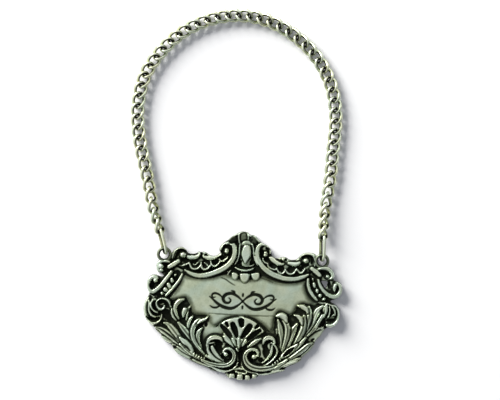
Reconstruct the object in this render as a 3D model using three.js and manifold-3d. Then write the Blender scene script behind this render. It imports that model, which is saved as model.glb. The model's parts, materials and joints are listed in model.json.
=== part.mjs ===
// A cast pewter decanter label that lies on its back, with its curb chain laid out above it.
// Millimetres, +Z up out of the label's face, +Y towards the top of the chain loop.
// The origin is on the flat back, under the middle of the smooth plaque.

import * as THREE from "three";
import { mergeVertices } from "three/addons/utils/BufferGeometryUtils.js";
import Module from "manifold-3d";

// Driving dimensions of the label plate
const plateWidth = 58.6;
const plateHeight = 44.6;
const webThickness = 1.5;
const plaqueThickness = 2.0;
const scrollRise = 3.4;
const leafRise = 2.9;
const jewelRise = 4.3;
const shellRise = 3.2;
const beadRise = 2.7;

// Driving dimensions of the chain: links of twisted wire, laid round a loop
const chainWire = 1.0;
const linkCount = 52;
const linkSideSlack = 1.15;
const linkGap = 0.25;
const linkTwist = 47;
const linkSquareness = 2.5;
const loopWidth = 59.7;
const loopHeight = 70.8;
const leftEndRoll = 80;
const rightEndRoll = -75;
const rollLinks = 8;
const tableGap = 0.15;

// Driving dimensions of the rings, in millimetres and in degrees off the loop's middle line
const ringWire = 0.9;
const ringLength = 8.4;
const ringSideSlack = 1.2;
const ringEyeGap = 0.55;
const ringSquareness = 3;
const leftRingLean = 17;
const rightRingLean = 1;
const ringRoll = 108;

// Driving dimensions of the two eyes, and where they stand on the ornament's sheet
const eyeRim = 0.95;
const eyeSlack = 1.7;
const eyeSeatY = 13.45;
const leftEyeX = -24.376;
const rightEyeX = 22.9;
const leftEyeLean = 2;
const rightEyeLean = 0;

// What passes through a piece sets how wide the piece is
const linkWidth = 3 * chainWire + linkSideSlack;
const ringWidth = 2 * ringWire + Math.max(eyeRim, chainWire) + ringSideSlack;
const eyeHole = ringWire + eyeSlack;

// Facets
const linkSteps = 16;
const ringSteps = 24;
const eyeSteps = 18;
const wireSides = 6;
const ringSides = 8;
const ridgeStep = 1.7;
const domeSides = 10;
const beadSides = 6;
const weld = 1e-4;

const wasm = await Module();
wasm.setup();

const radians = THREE.MathUtils.degToRad;

// The ornament is drawn on a sheet of this size and scaled to the plate
const sheetWidth = 58.6;
const sheetHeight = 44.6;
const onPlate = (x, y) => new THREE.Vector2((x * plateWidth) / sheetWidth, (y * plateHeight) / sheetHeight);

function toSolid(geometry) {
  const bare = geometry.index ? geometry.clone() : geometry;
  bare.deleteAttribute("normal");
  bare.deleteAttribute("uv");
  const merged = mergeVertices(bare, weld);
  return new wasm.Manifold(new wasm.Mesh({
    numProp: 3,
    vertProperties: new Float32Array(merged.attributes.position.array),
    triVerts: new Uint32Array(merged.index.array),
  }));
}

function toGeometry(solid) {
  const mesh = solid.getMesh();
  const geometry = new THREE.BufferGeometry();
  geometry.setAttribute("position", new THREE.BufferAttribute(mesh.vertProperties, 3));
  geometry.setIndex(new THREE.BufferAttribute(mesh.triVerts, 1));
  geometry.computeVertexNormals();
  return geometry;
}

// Joins rings of points, each the same length, with flat ends: an open run of sections becomes a solid
function loft(rings) {
  const size = rings[0].length;
  const positions = rings.flat().flatMap((p) => [p.x, p.y, p.z]);
  const index = [];
  for (let i = 0; i + 1 < rings.length; i += 1) {
    for (let j = 0; j < size; j += 1) {
      const a = i * size + j;
      const b = i * size + ((j + 1) % size);
      index.push(a, b, b + size, a, b + size, a + size);
    }
  }
  const last = (rings.length - 1) * size;
  for (let j = 1; j + 1 < size; j += 1) {
    index.push(0, j + 1, j);
    index.push(last, last + j, last + j + 1);
  }
  const geometry = new THREE.BufferGeometry();
  geometry.setAttribute("position", new THREE.Float32BufferAttribute(positions, 3));
  geometry.setIndex(index);
  return geometry;
}

// A band's side wall ends at this share of its rise, and its flat crown has this share of its width
const shoulder = 0.6;
const crown = 0.45;

// A raised band: it stands on the flat back, follows the points and swells and tapers as its widths say
function ridge(points, widths, rise) {
  const curve = new THREE.CatmullRomCurve3(points.map(([x, y]) => {
    const p = onPlate(x, y);
    return new THREE.Vector3(p.x, p.y, 0);
  }), false, "centripetal");
  const steps = Math.max(3, Math.round(curve.getLength() / ridgeStep));
  const rings = [];
  for (let i = 0; i <= steps; i += 1) {
    const t = i / steps;
    const at = curve.getPointAt(t);
    const along = curve.getTangentAt(t);
    const side = new THREE.Vector3(-along.y, along.x, 0);
    const place = t * (widths.length - 1);
    const k = Math.min(Math.floor(place), widths.length - 2);
    const half = THREE.MathUtils.lerp(widths[k], widths[k + 1], place - k) / 2;
    const section = [[half, 0], [half, rise * shoulder], [half * crown, rise], [-half * crown, rise],
      [-half, rise * shoulder], [-half, 0]];
    rings.push(section.map(([v, z]) => at.clone().addScaledVector(side, v).setZ(z)));
  }
  return loft(rings);
}

// Each row of a dome, from the back to its top, as shares of its radius and of its rise
const domeRows = [[1, 0], [1, 0.55], [0.86, 0.82], [0.45, 1]];

// A dome on a short round or oval wall, such as a jewel, a drop or a bead
function dome(x, y, halfWidth, halfHeight, rise, sides = domeSides) {
  const centre = onPlate(x, y);
  const rings = domeRows.map(([reach, level]) => {
    const ring = [];
    for (let i = 0; i < sides; i += 1) {
      const angle = (i / sides) * 2 * Math.PI;
      ring.push(new THREE.Vector3(
        centre.x + halfWidth * reach * Math.cos(angle),
        centre.y + halfHeight * reach * Math.sin(angle),
        rise * level,
      ));
    }
    return ring;
  });
  return loft(rings);
}

// A flat sheet that lies on the back, with straight edges between its points
function web(points, thickness) {
  const shape = new THREE.Shape();
  const placed = points.map(([x, y]) => onPlate(x, y));
  shape.moveTo(placed[0].x, placed[0].y);
  placed.slice(1).forEach((p) => shape.lineTo(p.x, p.y));
  return new THREE.ExtrudeGeometry(shape, { depth: thickness, bevelEnabled: false });
}

const mirrored = (points) => points.map(([x, y]) => [-x, y]);

// The right half of the ornament; the left half is its mirror image
const halfRidges = [
  // The long smooth scroll from the crest down and out along the top of the plaque
  { points: [[7.2, 17.3], [6.5, 18.7], [4.9, 19.1], [3.7, 17.9], [3.4, 15.9], [4.0, 13.6], [5.6, 11.7],
    [8.2, 10.3], [11.6, 9.6], [15.5, 9.9], [19.2, 11.1]], widths: [1.0, 1.5, 1.8, 1.5, 0.9],
  rise: scrollRise },
  // The scalloped top edge
  { points: [[7.4, 16.0], [9.2, 14.7], [11.4, 14.2], [13.8, 14.2], [16.2, 14.7]], widths: [0.9, 1.3, 0.9],
    rise: leafRise },
  // The scroll beside the eye
  { points: [[16.6, 15.2], [17.2, 16.5], [18.6, 17.0], [20.0, 16.4], [20.6, 14.9], [20.2, 13.0]],
    widths: [0.9, 1.1, 1.1, 1.0], rise: leafRise },
  // The curl that carries the eye
  { points: [[19.6, 12.4], [22.0, 13.2], [24.4, 12.9], [25.9, 11.7], [26.1, 10.5], [25.1, 10.0]],
    widths: [1.2, 1.5, 1.3, 1.2], rise: leafRise },
  // The outer rim of the beaded strap, ending in the side volute
  { points: [[21.4, 10.4], [22.5, 8.2], [24.0, 6.2], [25.7, 4.8], [27.4, 4.5], [28.6, 5.5], [28.7, 7.2],
    [27.7, 8.5], [26.6, 8.3]], widths: [0.9, 1.1, 1.1, 1.0], rise: leafRise },
  // The inner rim of the beaded strap
  { points: [[19.2, 10.0], [19.5, 7.4], [20.4, 5.4], [22.6, 3.1]], widths: [0.9, 1.0, 0.9], rise: leafRise },
  // The side shell and its inner curl
  { points: [[23.8, 2.0], [26.2, 2.0], [28.0, 0.9], [28.6, -1.0], [27.9, -3.0], [25.9, -4.1]],
    widths: [1.2, 1.5, 1.5, 1.7], rise: leafRise },
  { points: [[24.6, 1.2], [23.0, 0.6], [22.2, -1.4], [21.2, -4.0], [19.0, -7.4]], widths: [1.0, 1.3, 0.9],
    rise: leafRise },
  // The leaves that sweep down to the foot
  { points: [[16.8, 1.3], [19.4, 0.4], [20.2, -2.4], [19.0, -6.4], [16.6, -10.2]], widths: [0.7, 1.6, 1.0],
    rise: scrollRise },
  { points: [[15.4, -1.4], [17.3, -2.8], [17.3, -6.0], [15.0, -10.0]], widths: [0.7, 1.6, 1.0],
    rise: scrollRise },
  { points: [[10.7, -2.0], [12.6, -4.0], [13.3, -7.2], [12.3, -11.6]], widths: [0.8, 1.8, 1.0],
    rise: scrollRise },
  { points: [[24.2, -5.5], [20.9, -7.2], [18.0, -10.4], [14.6, -13.6], [11.2, -15.6]],
    widths: [0.9, 1.5, 1.3, 1.0], rise: leafRise },
  { points: [[20.9, -10.1], [17.4, -13.2], [13.4, -16.0], [8.8, -18.1], [5.0, -18.9]],
    widths: [1.0, 1.7, 1.5, 1.2], rise: beadRise },
  // The big spiral at the foot
  { points: [[5.3, -14.2], [4.6, -12.5], [3.0, -12.0], [1.5, -13.2], [1.1, -15.2], [2.2, -17.2],
    [4.6, -17.9], [7.6, -17.0], [9.9, -14.8], [10.4, -12.4], [9.6, -9.8], [7.9, -8.7], [6.6, -9.6]],
  widths: [0.8, 1.0, 1.1, 1.3, 1.2, 1.2, 0.9], rise: scrollRise },
  // The shell's side ribs
  { points: [[2.6, -4.4], [1.7, -7.2], [0.9, -10.4]], widths: [1.6, 1.0, 0.7], rise: shellRise },
  { points: [[5.4, -5.9], [3.2, -8.2], [1.6, -10.9]], widths: [1.6, 1.0, 0.7], rise: shellRise },
];

const halfDomes = [
  { x: 5.7, y: 17.0, r: [0.75, 0.85], rise: scrollRise },
  { x: 18.4, y: 15.2, r: [0.95, 0.85], rise: leafRise },
  { x: 24.9, y: 11.3, r: [0.6, 0.6], rise: leafRise },
  { x: 27.0, y: 6.9, r: [0.65, 0.9], rise: leafRise },
  { x: 3.9, y: -14.8, r: [0.95, 0.9], rise: jewelRise },
  { x: 3.3, y: 9.8, r: [1.05, 1.2], rise: beadRise },
  { x: 2.1, y: 21.0, r: [1.3, 1.1], rise: beadRise },
];

// The beads on each strap, the tips of the scallops, and the beads under the foot
const strapBeads = [[20.6, 9.0], [21.2, 7.4], [22.1, 5.9], [23.2, 4.6]];
const strapBeadRadius = 0.62;
const scallops = [[7.4, 13.7], [9.7, 12.6], [12.2, 12.3], [14.8, 12.5], [17.1, 13.1]];
const scallopRadius = 0.55;
const footBeads = [[-4.0, -20.24], [-2.2, -20.5], [0, -20.8], [2.2, -20.5], [4.0, -20.24]];
const footBeadRadius = 0.95;

// On the middle line: the collar and the shell's middle rib
const middleRidges = [
  { points: [[-3.0, 12.3], [0, 11.5], [3.0, 12.3]], widths: [0.7, 0.9, 0.7], rise: beadRise },
  { points: [[0, -3.6], [0, -7.0], [0, -11.4]], widths: [1.8, 1.1, 0.8], rise: shellRise },
];

// On the middle line: the crest's lobe, the cabochon and the middle drop
const middleDomes = [
  { y: 21.6, r: [1.4, 1.5], rise: beadRise },
  { y: 16.0, r: [1.3, 2.8], rise: jewelRise },
  { y: 9.2, r: [1.3, 1.3], rise: beadRise },
];

// The thin web behind the ornament, and the smooth plaque in its middle
const halfWeb = [[0, 22.0], [3.0, 20.4], [5.4, 18.6], [7.0, 16.2], [9.4, 15.1], [11.6, 15.2], [14.0, 14.7],
  [16.6, 15.6], [18.6, 17.0], [20.6, 15.2], [20.8, 13.4], [24.0, 12.8], [25.6, 11.0], [23.0, 9.6],
  [24.6, 6.6], [27.6, 7.6], [28.2, 5.4], [25.6, 3.8], [25.8, 2.2], [28.2, 0.2], [27.8, -2.8], [24.6, -4.6],
  [23.4, -6.0], [20.4, -10.4], [16.4, -14.2], [12.0, -17.0], [6.0, -19.0], [2.6, -20.4], [0, -20.6]];
const halfPlaque = [[0, 10.6], [4.4, 9.0], [11.0, 9.0], [18.4, 9.6], [19.0, 6.4], [21.4, 2.6], [17.6, -1.0],
  [12.0, -2.6], [9.0, -5.6], [4.0, -3.6], [0, -3.2]];

const closeHalf = (half) => [...half, ...mirrored(half.slice(1, -1)).reverse()].reverse();

// A direction in the plate's plane, leaning that many degrees to the left of straight up
function towards(lean) {
  return new THREE.Vector3(-Math.sin(radians(lean)), Math.cos(radians(lean)), 0);
}

// The hinge line is as high as the middle of a ring that rests on the table at its roll
const ringHalfWidth = (ringWidth - ringWire) / 2;
const hingeZ = ringHalfWidth * Math.sin(radians(ringRoll)) + ringWire / 2 + tableGap;
const eyeReach = (eyeHole + eyeRim) / 2;
const hingeY = onPlate(0, eyeSeatY).y + 2 * eyeReach;

// The middle of the rim's wire at the far side of an eye, where its ring bears
function rimAt(x, lean) {
  return new THREE.Vector3(onPlate(x, eyeSeatY).x + 2 * eyeReach * towards(lean).x, hingeY, hingeZ);
}
const leftRim = rimAt(leftEyeX, leftEyeLean);
const rightRim = rimAt(rightEyeX, rightEyeLean);

// Each eye's middle lies behind its rim, seen from the ring
function eye(rim, lean) {
  const middle = rim.clone().addScaledVector(towards(lean), -eyeReach);
  const rimRing = new THREE.TorusGeometry(eyeReach, eyeRim / 2, ringSides, eyeSteps);
  return rimRing.translate(middle.x, middle.y, middle.z);
}

function labelPlate() {
  const solids = [
    web(closeHalf(halfWeb), webThickness),
    web(closeHalf(halfPlaque), plaqueThickness),
    eye(leftRim, leftEyeLean),
    eye(rightRim, rightEyeLean),
  ];
  halfRidges.forEach(({ points, widths, rise }) => {
    solids.push(ridge(points, widths, rise));
    solids.push(ridge(mirrored(points), widths, rise));
  });
  halfDomes.forEach(({ x, y, r, rise }) => {
    solids.push(dome(x, y, r[0], r[1], rise));
    solids.push(dome(-x, y, r[0], r[1], rise));
  });
  strapBeads.concat(mirrored(strapBeads)).forEach(([x, y]) => {
    solids.push(dome(x, y, strapBeadRadius, strapBeadRadius, beadRise, beadSides));
  });
  scallops.concat(mirrored(scallops)).forEach(([x, y]) => {
    solids.push(dome(x, y, scallopRadius, scallopRadius, beadRise, beadSides));
  });
  footBeads.forEach(([x, y]) => {
    solids.push(dome(x, y, footBeadRadius, footBeadRadius, beadRise));
  });
  middleRidges.forEach(({ points, widths, rise }) => solids.push(ridge(points, widths, rise)));
  middleDomes.forEach(({ y, r, rise }) => solids.push(dome(0, y, r[0], r[1], rise)));
  return toGeometry(wasm.Manifold.union(solids.map(toSolid)));
}

// A closed oval wire: the oval turns about its long axis by the twist from one end to the other
function ovalPoint(turn, halfLength, halfWidth, squareness, twist) {
  const c = Math.cos(turn);
  const s = Math.sin(turn);
  const along = halfLength * Math.sign(c) * Math.abs(c) ** (2 / squareness);
  const across = halfWidth * Math.sign(s) * Math.abs(s) ** (2 / squareness);
  const angle = (radians(twist) * along) / halfLength;
  return new THREE.Vector3(along, across * Math.cos(angle), across * Math.sin(angle));
}

// The wire's direction is measured between two points this far apart, in radians of turn
const turnStep = 0.01;

function ovalWire(halfLength, halfWidth, squareness, twist, wire, steps, sides) {
  const point = (turn) => ovalPoint(turn, halfLength, halfWidth, squareness, twist);
  const positions = [];
  const index = [];
  for (let i = 0; i < steps; i += 1) {
    const turn = ((i + 0.5) / steps) * 2 * Math.PI;
    const at = point(turn);
    const along = point(turn + turnStep).sub(point(turn - turnStep)).normalize();
    const out = at.clone().addScaledVector(along, -at.dot(along)).normalize();
    const up = new THREE.Vector3().crossVectors(along, out);
    for (let j = 0; j < sides; j += 1) {
      const angle = (j / sides) * 2 * Math.PI;
      const p = at.clone().addScaledVector(out, (wire / 2) * Math.cos(angle));
      p.addScaledVector(up, (wire / 2) * Math.sin(angle));
      positions.push(p.x, p.y, p.z);
      const next = ((i + 1) % steps) * sides;
      const a = i * sides + j;
      const b = i * sides + ((j + 1) % sides);
      const c = next + ((j + 1) % sides);
      const d = next + j;
      index.push(a, b, c, a, c, d);
    }
  }
  const geometry = new THREE.BufferGeometry();
  geometry.setAttribute("position", new THREE.Float32BufferAttribute(positions, 3));
  geometry.setIndex(index);
  geometry.computeVertexNormals();
  return geometry;
}

const pewter = new THREE.MeshStandardMaterial({ color: 0x9ca091, roughness: 0.42, metalness: 0.9 });
const silver = new THREE.MeshStandardMaterial({ color: 0xc4c7b4, roughness: 0.28, metalness: 1.0 });

const label = new THREE.Group();

function place(name, geometry, material, at, direction, roll) {
  const mesh = new THREE.Mesh(geometry, material);
  mesh.name = name;
  const side = new THREE.Vector3().crossVectors(new THREE.Vector3(0, 0, 1), direction).normalize();
  const up = new THREE.Vector3().crossVectors(direction, side);
  mesh.quaternion.setFromRotationMatrix(new THREE.Matrix4().makeBasis(direction, side, up));
  mesh.rotateX(radians(roll));
  mesh.position.copy(at);
  label.add(mesh);
}

const plate = new THREE.Mesh(labelPlate(), pewter);
plate.name = "label_plate";
label.add(plate);

// Each ring passes round its eye's rim at one end and through an end link at the other
const ringHalfLength = (ringLength - ringWire) / 2;
const bowReach = eyeRim / 2 + ringEyeGap + ringWire / 2;
const ringShape = ovalWire(ringHalfLength, ringHalfWidth, ringSquareness, 0, ringWire, ringSteps, ringSides);

function ring(name, rim, lean) {
  const direction = towards(lean);
  const middle = rim.clone().addScaledVector(direction, ringHalfLength - bowReach);
  place(name, ringShape, silver, middle, direction, ringRoll);
  return middle.addScaledVector(direction, ringHalfLength - (ringWire + linkGap) / 2);
}

const leftEnd = ring("ring_left", leftRim, leftRingLean);
const rightEnd = ring("ring_right", rightRim, rightRingLean);

// The loop's route between the rings, as shares of its width and height above the hinge line
const routeShares = [[-0.478, 0.175], [-0.508, 0.289], [-0.539, 0.385], [-0.567, 0.492], [-0.575, 0.6],
  [-0.543, 0.737], [-0.418, 0.884], [-0.28, 0.963], [-0.122, 1.0], [0.042, 0.989], [0.191, 0.93],
  [0.312, 0.839], [0.392, 0.72], [0.423, 0.588], [0.416, 0.452], [0.407, 0.318], [0.389, 0.202]];
const route = new THREE.CatmullRomCurve3([
  leftEnd.clone().setZ(0),
  ...routeShares.map(([x, y]) => new THREE.Vector3(x * loopWidth, hingeY + y * loopHeight, 0)),
  rightEnd.clone().setZ(0),
], false, "centripetal");
route.arcLengthDivisions = 2000;

// Each link's inside is one pitch long, plus the wire that fills it at both ends and the gap
const pitch = route.getLength() / linkCount;
const linkHalfLength = (pitch + chainWire + linkGap) / 2;
const linkHalfWidth = (linkWidth - chainWire) / 2;

// The chain lies flat round the loop and turns on edge towards both rings
function rollAt(index) {
  const left = Math.max(0, 1 - index / rollLinks);
  const right = Math.max(0, 1 - (linkCount - index) / rollLinks);
  return leftEndRoll * left + rightEndRoll * right;
}

// How high a link's middle lies when a link of that roll rests on the table, from points round its wire
function restHeight(roll) {
  const samples = 4 * linkSteps;
  let highest = 0;
  for (let i = 0; i < samples; i += 1) {
    const turn = (i / samples) * 2 * Math.PI;
    const p = ovalPoint(turn, linkHalfLength, linkHalfWidth, linkSquareness, linkTwist);
    highest = Math.max(highest, p.y * Math.sin(radians(roll)) + p.z * Math.cos(radians(roll)));
  }
  return highest + chainWire / 2 + tableGap;
}

const linkShape = ovalWire(
  linkHalfLength, linkHalfWidth, linkSquareness, linkTwist, chainWire, linkSteps, wireSides,
);
const joints = route.getSpacedPoints(linkCount).map((p, index) => p.setZ(restHeight(rollAt(index))));
for (let i = 0; i < linkCount; i += 1) {
  const direction = joints[i + 1].clone().sub(joints[i]).normalize();
  const middle = joints[i].clone().add(joints[i + 1]).multiplyScalar(0.5);
  place(`link_${String(i + 1).padStart(2, "0")}`, linkShape, silver, middle, direction, rollAt(i + 0.5));
}

export default label;
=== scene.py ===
"""A pewter decanter label on its curb chain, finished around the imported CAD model.

The label's relief is worked out on a sheet in millimetres, stroke by stroke, and becomes one closed mesh.
Every chain link and ring is one wire along its CAD node's rounded oblong, laid where the node lies.
"""
import json
import math

import bmesh
import bpy
import numpy as np
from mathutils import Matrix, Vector


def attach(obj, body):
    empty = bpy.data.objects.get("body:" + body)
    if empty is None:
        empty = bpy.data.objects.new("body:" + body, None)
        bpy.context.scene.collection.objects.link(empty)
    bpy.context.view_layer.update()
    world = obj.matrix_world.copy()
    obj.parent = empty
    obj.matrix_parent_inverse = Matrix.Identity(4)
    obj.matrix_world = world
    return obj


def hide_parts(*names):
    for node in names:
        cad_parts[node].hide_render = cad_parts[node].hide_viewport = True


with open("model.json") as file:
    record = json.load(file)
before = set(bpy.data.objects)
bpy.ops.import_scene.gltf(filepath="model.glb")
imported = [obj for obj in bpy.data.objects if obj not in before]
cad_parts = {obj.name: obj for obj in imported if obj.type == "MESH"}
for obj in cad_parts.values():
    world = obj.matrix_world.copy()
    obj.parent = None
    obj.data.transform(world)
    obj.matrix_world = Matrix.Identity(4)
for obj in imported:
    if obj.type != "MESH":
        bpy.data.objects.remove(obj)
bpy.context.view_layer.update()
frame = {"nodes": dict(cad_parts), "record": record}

MM = 0.001

# The label's surface is worked out on a sheet in millimetres, from the plaque's middle: x right, y up
SHEET_LOW = (-30.6, -22.6)
SHEET_HIGH = (30.2, 24)
SHEET_STEP = 0.15

# Heights over the flat back, in millimetres
RECESS = 1.45
EDGE = 1.15
PLAQUE = 1.95
PLAQUE_CROWN = 0.3
SCROLL = 3.05
CURL = 2.9
SHELL = 2.9
BAR = 2.75
JEWEL = 4.2

# A smooth line: its steps between two given points, and the spacing and fewest number of its places
SPAN_STEPS = 8
LINE_SPACING = 0.18
LINE_FEWEST = 4

# Strokes, in millimetres: the least half width, how far a thin stroke falls to its edge, how much lower
# than a laid shape its crease is sunk, and the width of the crease round a ribbon, a stud and a facet
THINNEST = 0.05
STROKE_DROP = 0.9
UNDER_LEAF, UNDER_BLOCK = 0.25, 0.1
RIBBON_CREASE, STUD_CREASE, FACET_CREASE = 0.35, 0.2, 0.14
RIBBON_DROP, RIBBON_DISH = 0.8, 0.16
FACET_DROP, FACET_STEP, FACET_REACH = 0.7, 0.3, 0.8
SLOT_DEPTH = 0.15

# Shares of a stroke's half width: a leaf's hollow and its rim, and a lobe's vein
LEAF_HOLLOW, LEAF_RIM = 0.7, 0.3
VEIN_WIDTH, VEIN_DEPTH = 0.3, 0.5

# Darkness, where 1 is black: of a crease, a vein of full depth, a ribbon's middle and a facet
CREASE_BLACK = 0.85
VEIN_BLACK = 1.6
RIBBON_BLACK = 0.14
FACET_BLACK = 0.06


def smooth_line(points, closed=False):
    """Places spread evenly on a smooth line through the points.

    Between two points the line is a cubic whose slope at each is half the step between its neighbours.
    """
    p = np.array(points, float)
    before = p[-1:] if closed else 2 * p[:1] - p[1:2]
    after = p[:2] if closed else 2 * p[-1:] - p[-2:-1]
    q = np.vstack([before, p, after])
    a, b, c, d = q[:-3], q[1:-2], q[2:-1], q[3:]
    t = np.linspace(0, 1, SPAN_STEPS + 1)[:-1, None, None]
    cubic = 0.5 * (2 * b + (c - a) * t + (2 * a - 5 * b + 4 * c - d) * t**2
                   + (3 * b - a - 3 * c + d) * t**3)
    line = np.vstack([cubic.transpose(1, 0, 2).reshape(-1, 2), p[:1] if closed else p[-1:]])
    run = np.concatenate([[0], np.cumsum(np.hypot(*np.diff(line, axis=0).T))])
    at = np.linspace(0, run[-1], max(LINE_FEWEST, int(run[-1] / LINE_SPACING)) + 1)
    return np.stack([np.interp(at, run, line[:, 0]), np.interp(at, run, line[:, 1])], 1)


def soften(field, radius):
    """The field blurred by a bell curve of that radius in millimetres, first along x and then along y."""
    reach = int(3 * radius / SHEET_STEP) + 1
    bell = np.exp(-0.5 * (np.arange(-reach, reach + 1) * SHEET_STEP / radius) ** 2)
    bell /= bell.sum()
    for axis in (0, 1):
        padded = np.moveaxis(np.pad(field, reach, mode="edge"), axis, 0)
        total = sum(w * padded[k:len(padded) - 2 * reach + k] for k, w in enumerate(bell))
        field = np.moveaxis(total, 0, axis)
        field = field[:, reach:-reach] if axis == 0 else field[reach:-reach]
    return field


def ease(low, high, value):
    """0 at low, 1 at high and a smooth step between them, also where high is the smaller of the two."""
    t = np.clip((value - low) / (high - low), 0, 1)
    return t * t * (3 - 2 * t)


class Relief:
    """The label's height and colour on a square grid, built up stroke by stroke.

    Places, widths and heights are in millimetres and turns in degrees. From 0 to 1, black says how dark a
    point was drawn and polish how brightly it is rubbed. A stroke's widths spread evenly along it.
    """

    def __init__(self):
        xs = np.arange(SHEET_LOW[0], SHEET_HIGH[0], SHEET_STEP)
        ys = np.arange(SHEET_LOW[1], SHEET_HIGH[1], SHEET_STEP)
        self.x, self.y = np.meshgrid(xs, ys, indexing="ij")
        self.height = np.full(self.x.shape, RECESS)
        self.black = np.zeros(self.x.shape)
        self.polish = np.zeros(self.x.shape)

    def window(self, low, high, reach):
        """The part of the grid that holds a box and a margin round it."""
        spans = []
        for axis in (0, 1):
            first = int((low[axis] - reach - SHEET_LOW[axis]) / SHEET_STEP)
            last = int((high[axis] + reach - SHEET_LOW[axis]) / SHEET_STEP) + 2
            spans.append(slice(max(first, 0), max(last, 0)))
        return tuple(spans)

    def trace(self, line, reach):
        """Each grid point's distance from a line and its share of the way along it, near the line only.

        Every short piece of the line is measured on the small square of grid points around it.
        """
        away = np.full(self.x.shape, np.inf)
        share = np.zeros(self.x.shape)
        count = len(line) - 1
        for k in range(count):
            a, b = line[k], line[k + 1]
            w = self.window(np.minimum(a, b), np.maximum(a, b), reach)
            px, py = self.x[w] - a[0], self.y[w] - a[1]
            along = b - a
            f = np.clip((px * along[0] + py * along[1]) / (along @ along), 0, 1)
            d = np.hypot(px - f * along[0], py - f * along[1])
            closer = d < away[w]
            away[w] = np.where(closer, d, away[w])
            share[w] = np.where(closer, (k + f) / count, share[w])
        return away, share

    def stroke(self, points, widths, gap=0.0):
        """Each grid point's distance from a stroke's middle line, where 1 is the stroke's own edge.

        Gives that, and how many millimetres the point lies past the edge.
        """
        widths = np.atleast_1d(widths).astype(float)
        away, share = self.trace(smooth_line(points), widths.max() / 2 + gap + SHEET_STEP)
        half = np.interp(share, np.linspace(0, 1, len(widths)), widths) / 2
        return away / np.maximum(half, THINNEST), away - half

    def turned(self, x, y, half_x, half_y, turn):
        """Each grid point's place along the two axes of a turned oval, where 1 is the oval's end."""
        c, s = math.cos(math.radians(turn)), math.sin(math.radians(turn))
        dx, dy = self.x - x, self.y - y
        return (dx * c + dy * s) / half_x, (dy * c - dx * s) / half_y

    def lift(self, u, top, low, profile):
        """Raises the surface to the profile, 1 at the top and 0 at low, wherever that is higher."""
        z = low + (top - low) * profile
        self.height = np.where(u < 1, np.maximum(self.height, z), self.height)

    def shine(self, u, amount):
        """Marks metal as rubbed bright, less so towards its edge, and fades what was drawn black on it."""
        rubbed = np.maximum(self.polish * 0.5, amount * (1 - 0.5 * u**2))
        self.polish = np.where(u < 1, rubbed, self.polish)
        self.black = np.where(u < 0.9, self.black * 0.15, self.black)

    def wire(self, points, widths, top):
        """A round rim: half an ellipse across."""
        u, _ = self.stroke(points, widths)
        self.lift(u, top, top - STROKE_DROP, np.sqrt(np.clip(1 - u**2, 0, 1)))
        self.shine(u, 1)

    def band(self, points, widths, top):
        """A flat strip with rounded shoulders: the root of one less a fourth power across."""
        u, _ = self.stroke(points, widths)
        self.lift(u, top, top - STROKE_DROP, np.clip(1 - u**4, 0, 1) ** 0.5)
        self.shine(u, 0.6)

    def leaf(self, points, widths, top, dish):
        """A leaf lobe: a hollow along its middle between two raised edges."""
        u, _ = self.stroke(points, widths)
        rim = np.sqrt(np.clip(1 - (np.clip(u - LEAF_HOLLOW, 0, 1) / LEAF_RIM) ** 2, 0, 1))
        hollow = dish * np.clip(1 - (u / LEAF_HOLLOW) ** 2, 0, 1)
        self.lift(u, top, top - STROKE_DROP, rim - hollow)
        self.shine(u, 0.5 * ease(0.3, 0.8, u))

    def lay(self, u, past, surface, low, gap, black, polish):
        """Lays a shape over what is there. A dark crease of that width runs round it, sunk to low."""
        crease = ease(gap, 0, past) * (u >= 1)
        self.height = np.where(u < 1, surface, self.height + crease * np.minimum(low - self.height, 0))
        self.black = np.where(u < 1, black, np.maximum(self.black, CREASE_BLACK * crease))
        self.polish = np.where(u < 1, polish, self.polish * (1 - crease))

    def lobe(self, points, widths, top, drop=0.8, vein=0.3, gap=0.33):
        """A leaf lobe laid over the others: it falls by the cube across, and a vein is sunk along it.

        Without a vein it is rubbed bright all over.
        """
        u, past = self.stroke(points, widths, gap)
        line = vein * np.exp(-(u / VEIN_WIDTH) ** 2)
        surface = top - drop * np.clip(u, 0, 1) ** 3 - VEIN_DEPTH * line
        worn = 0.1 + 0.7 * ease(0.2, 0.75, u) if vein else 0.9
        self.lay(u, past, surface, top - drop - UNDER_LEAF, gap, VEIN_BLACK * line, worn)

    def ribbon(self, points, widths, top):
        """A flat ribbon laid over the rest: an eighth power across, a little dished between fine rims."""
        u, past = self.stroke(points, widths, RIBBON_CREASE)
        dish = ease(0.85, 0.45, u)
        surface = top - RIBBON_DROP * np.clip(u, 0, 1) ** 8 - RIBBON_DISH * dish
        low = top - RIBBON_DROP - UNDER_LEAF
        self.lay(u, past, surface, low, RIBBON_CREASE, RIBBON_BLACK * dish, 0.9 - 0.5 * dish)

    def stud(self, x, y, half_x, half_y, top, drop, turn=0, dark=0):
        """A squarish block with a flat top: a sum of fifth powers."""
        a, b = self.turned(x, y, half_x, half_y, turn)
        u = (np.abs(a) ** 5 + np.abs(b) ** 5) ** (1 / 5)
        surface = top - drop * np.clip(u, 0, 1) ** 7
        past = (u - 1) * min(half_x, half_y)
        self.lay(u, past, surface, top - drop - UNDER_BLOCK, STUD_CREASE, dark, 0.8 * (1 - dark))

    def facet(self, points, top):
        """A small block inside a closed outline: flat on top, and a smooth step down along its edge."""
        inside = self.distance_in(points, FACET_REACH)
        surface = top - FACET_DROP * ease(FACET_STEP, 0, inside)
        low = top - FACET_DROP - UNDER_BLOCK
        self.lay(np.where(inside > 0, 0, 1), -inside, surface, low, FACET_CREASE, FACET_BLACK, 0.55)

    def slot(self, points, widths):
        """A deep dark slot with steep sides."""
        u, _ = self.stroke(points, widths)
        share = ease(1, 0.75, u)
        self.height = self.height + share * np.minimum(RECESS - SLOT_DEPTH - self.height, 0)
        self.black = np.maximum(self.black, ease(1.05, 0.85, u))
        self.polish = self.polish * (1 - share)

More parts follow.
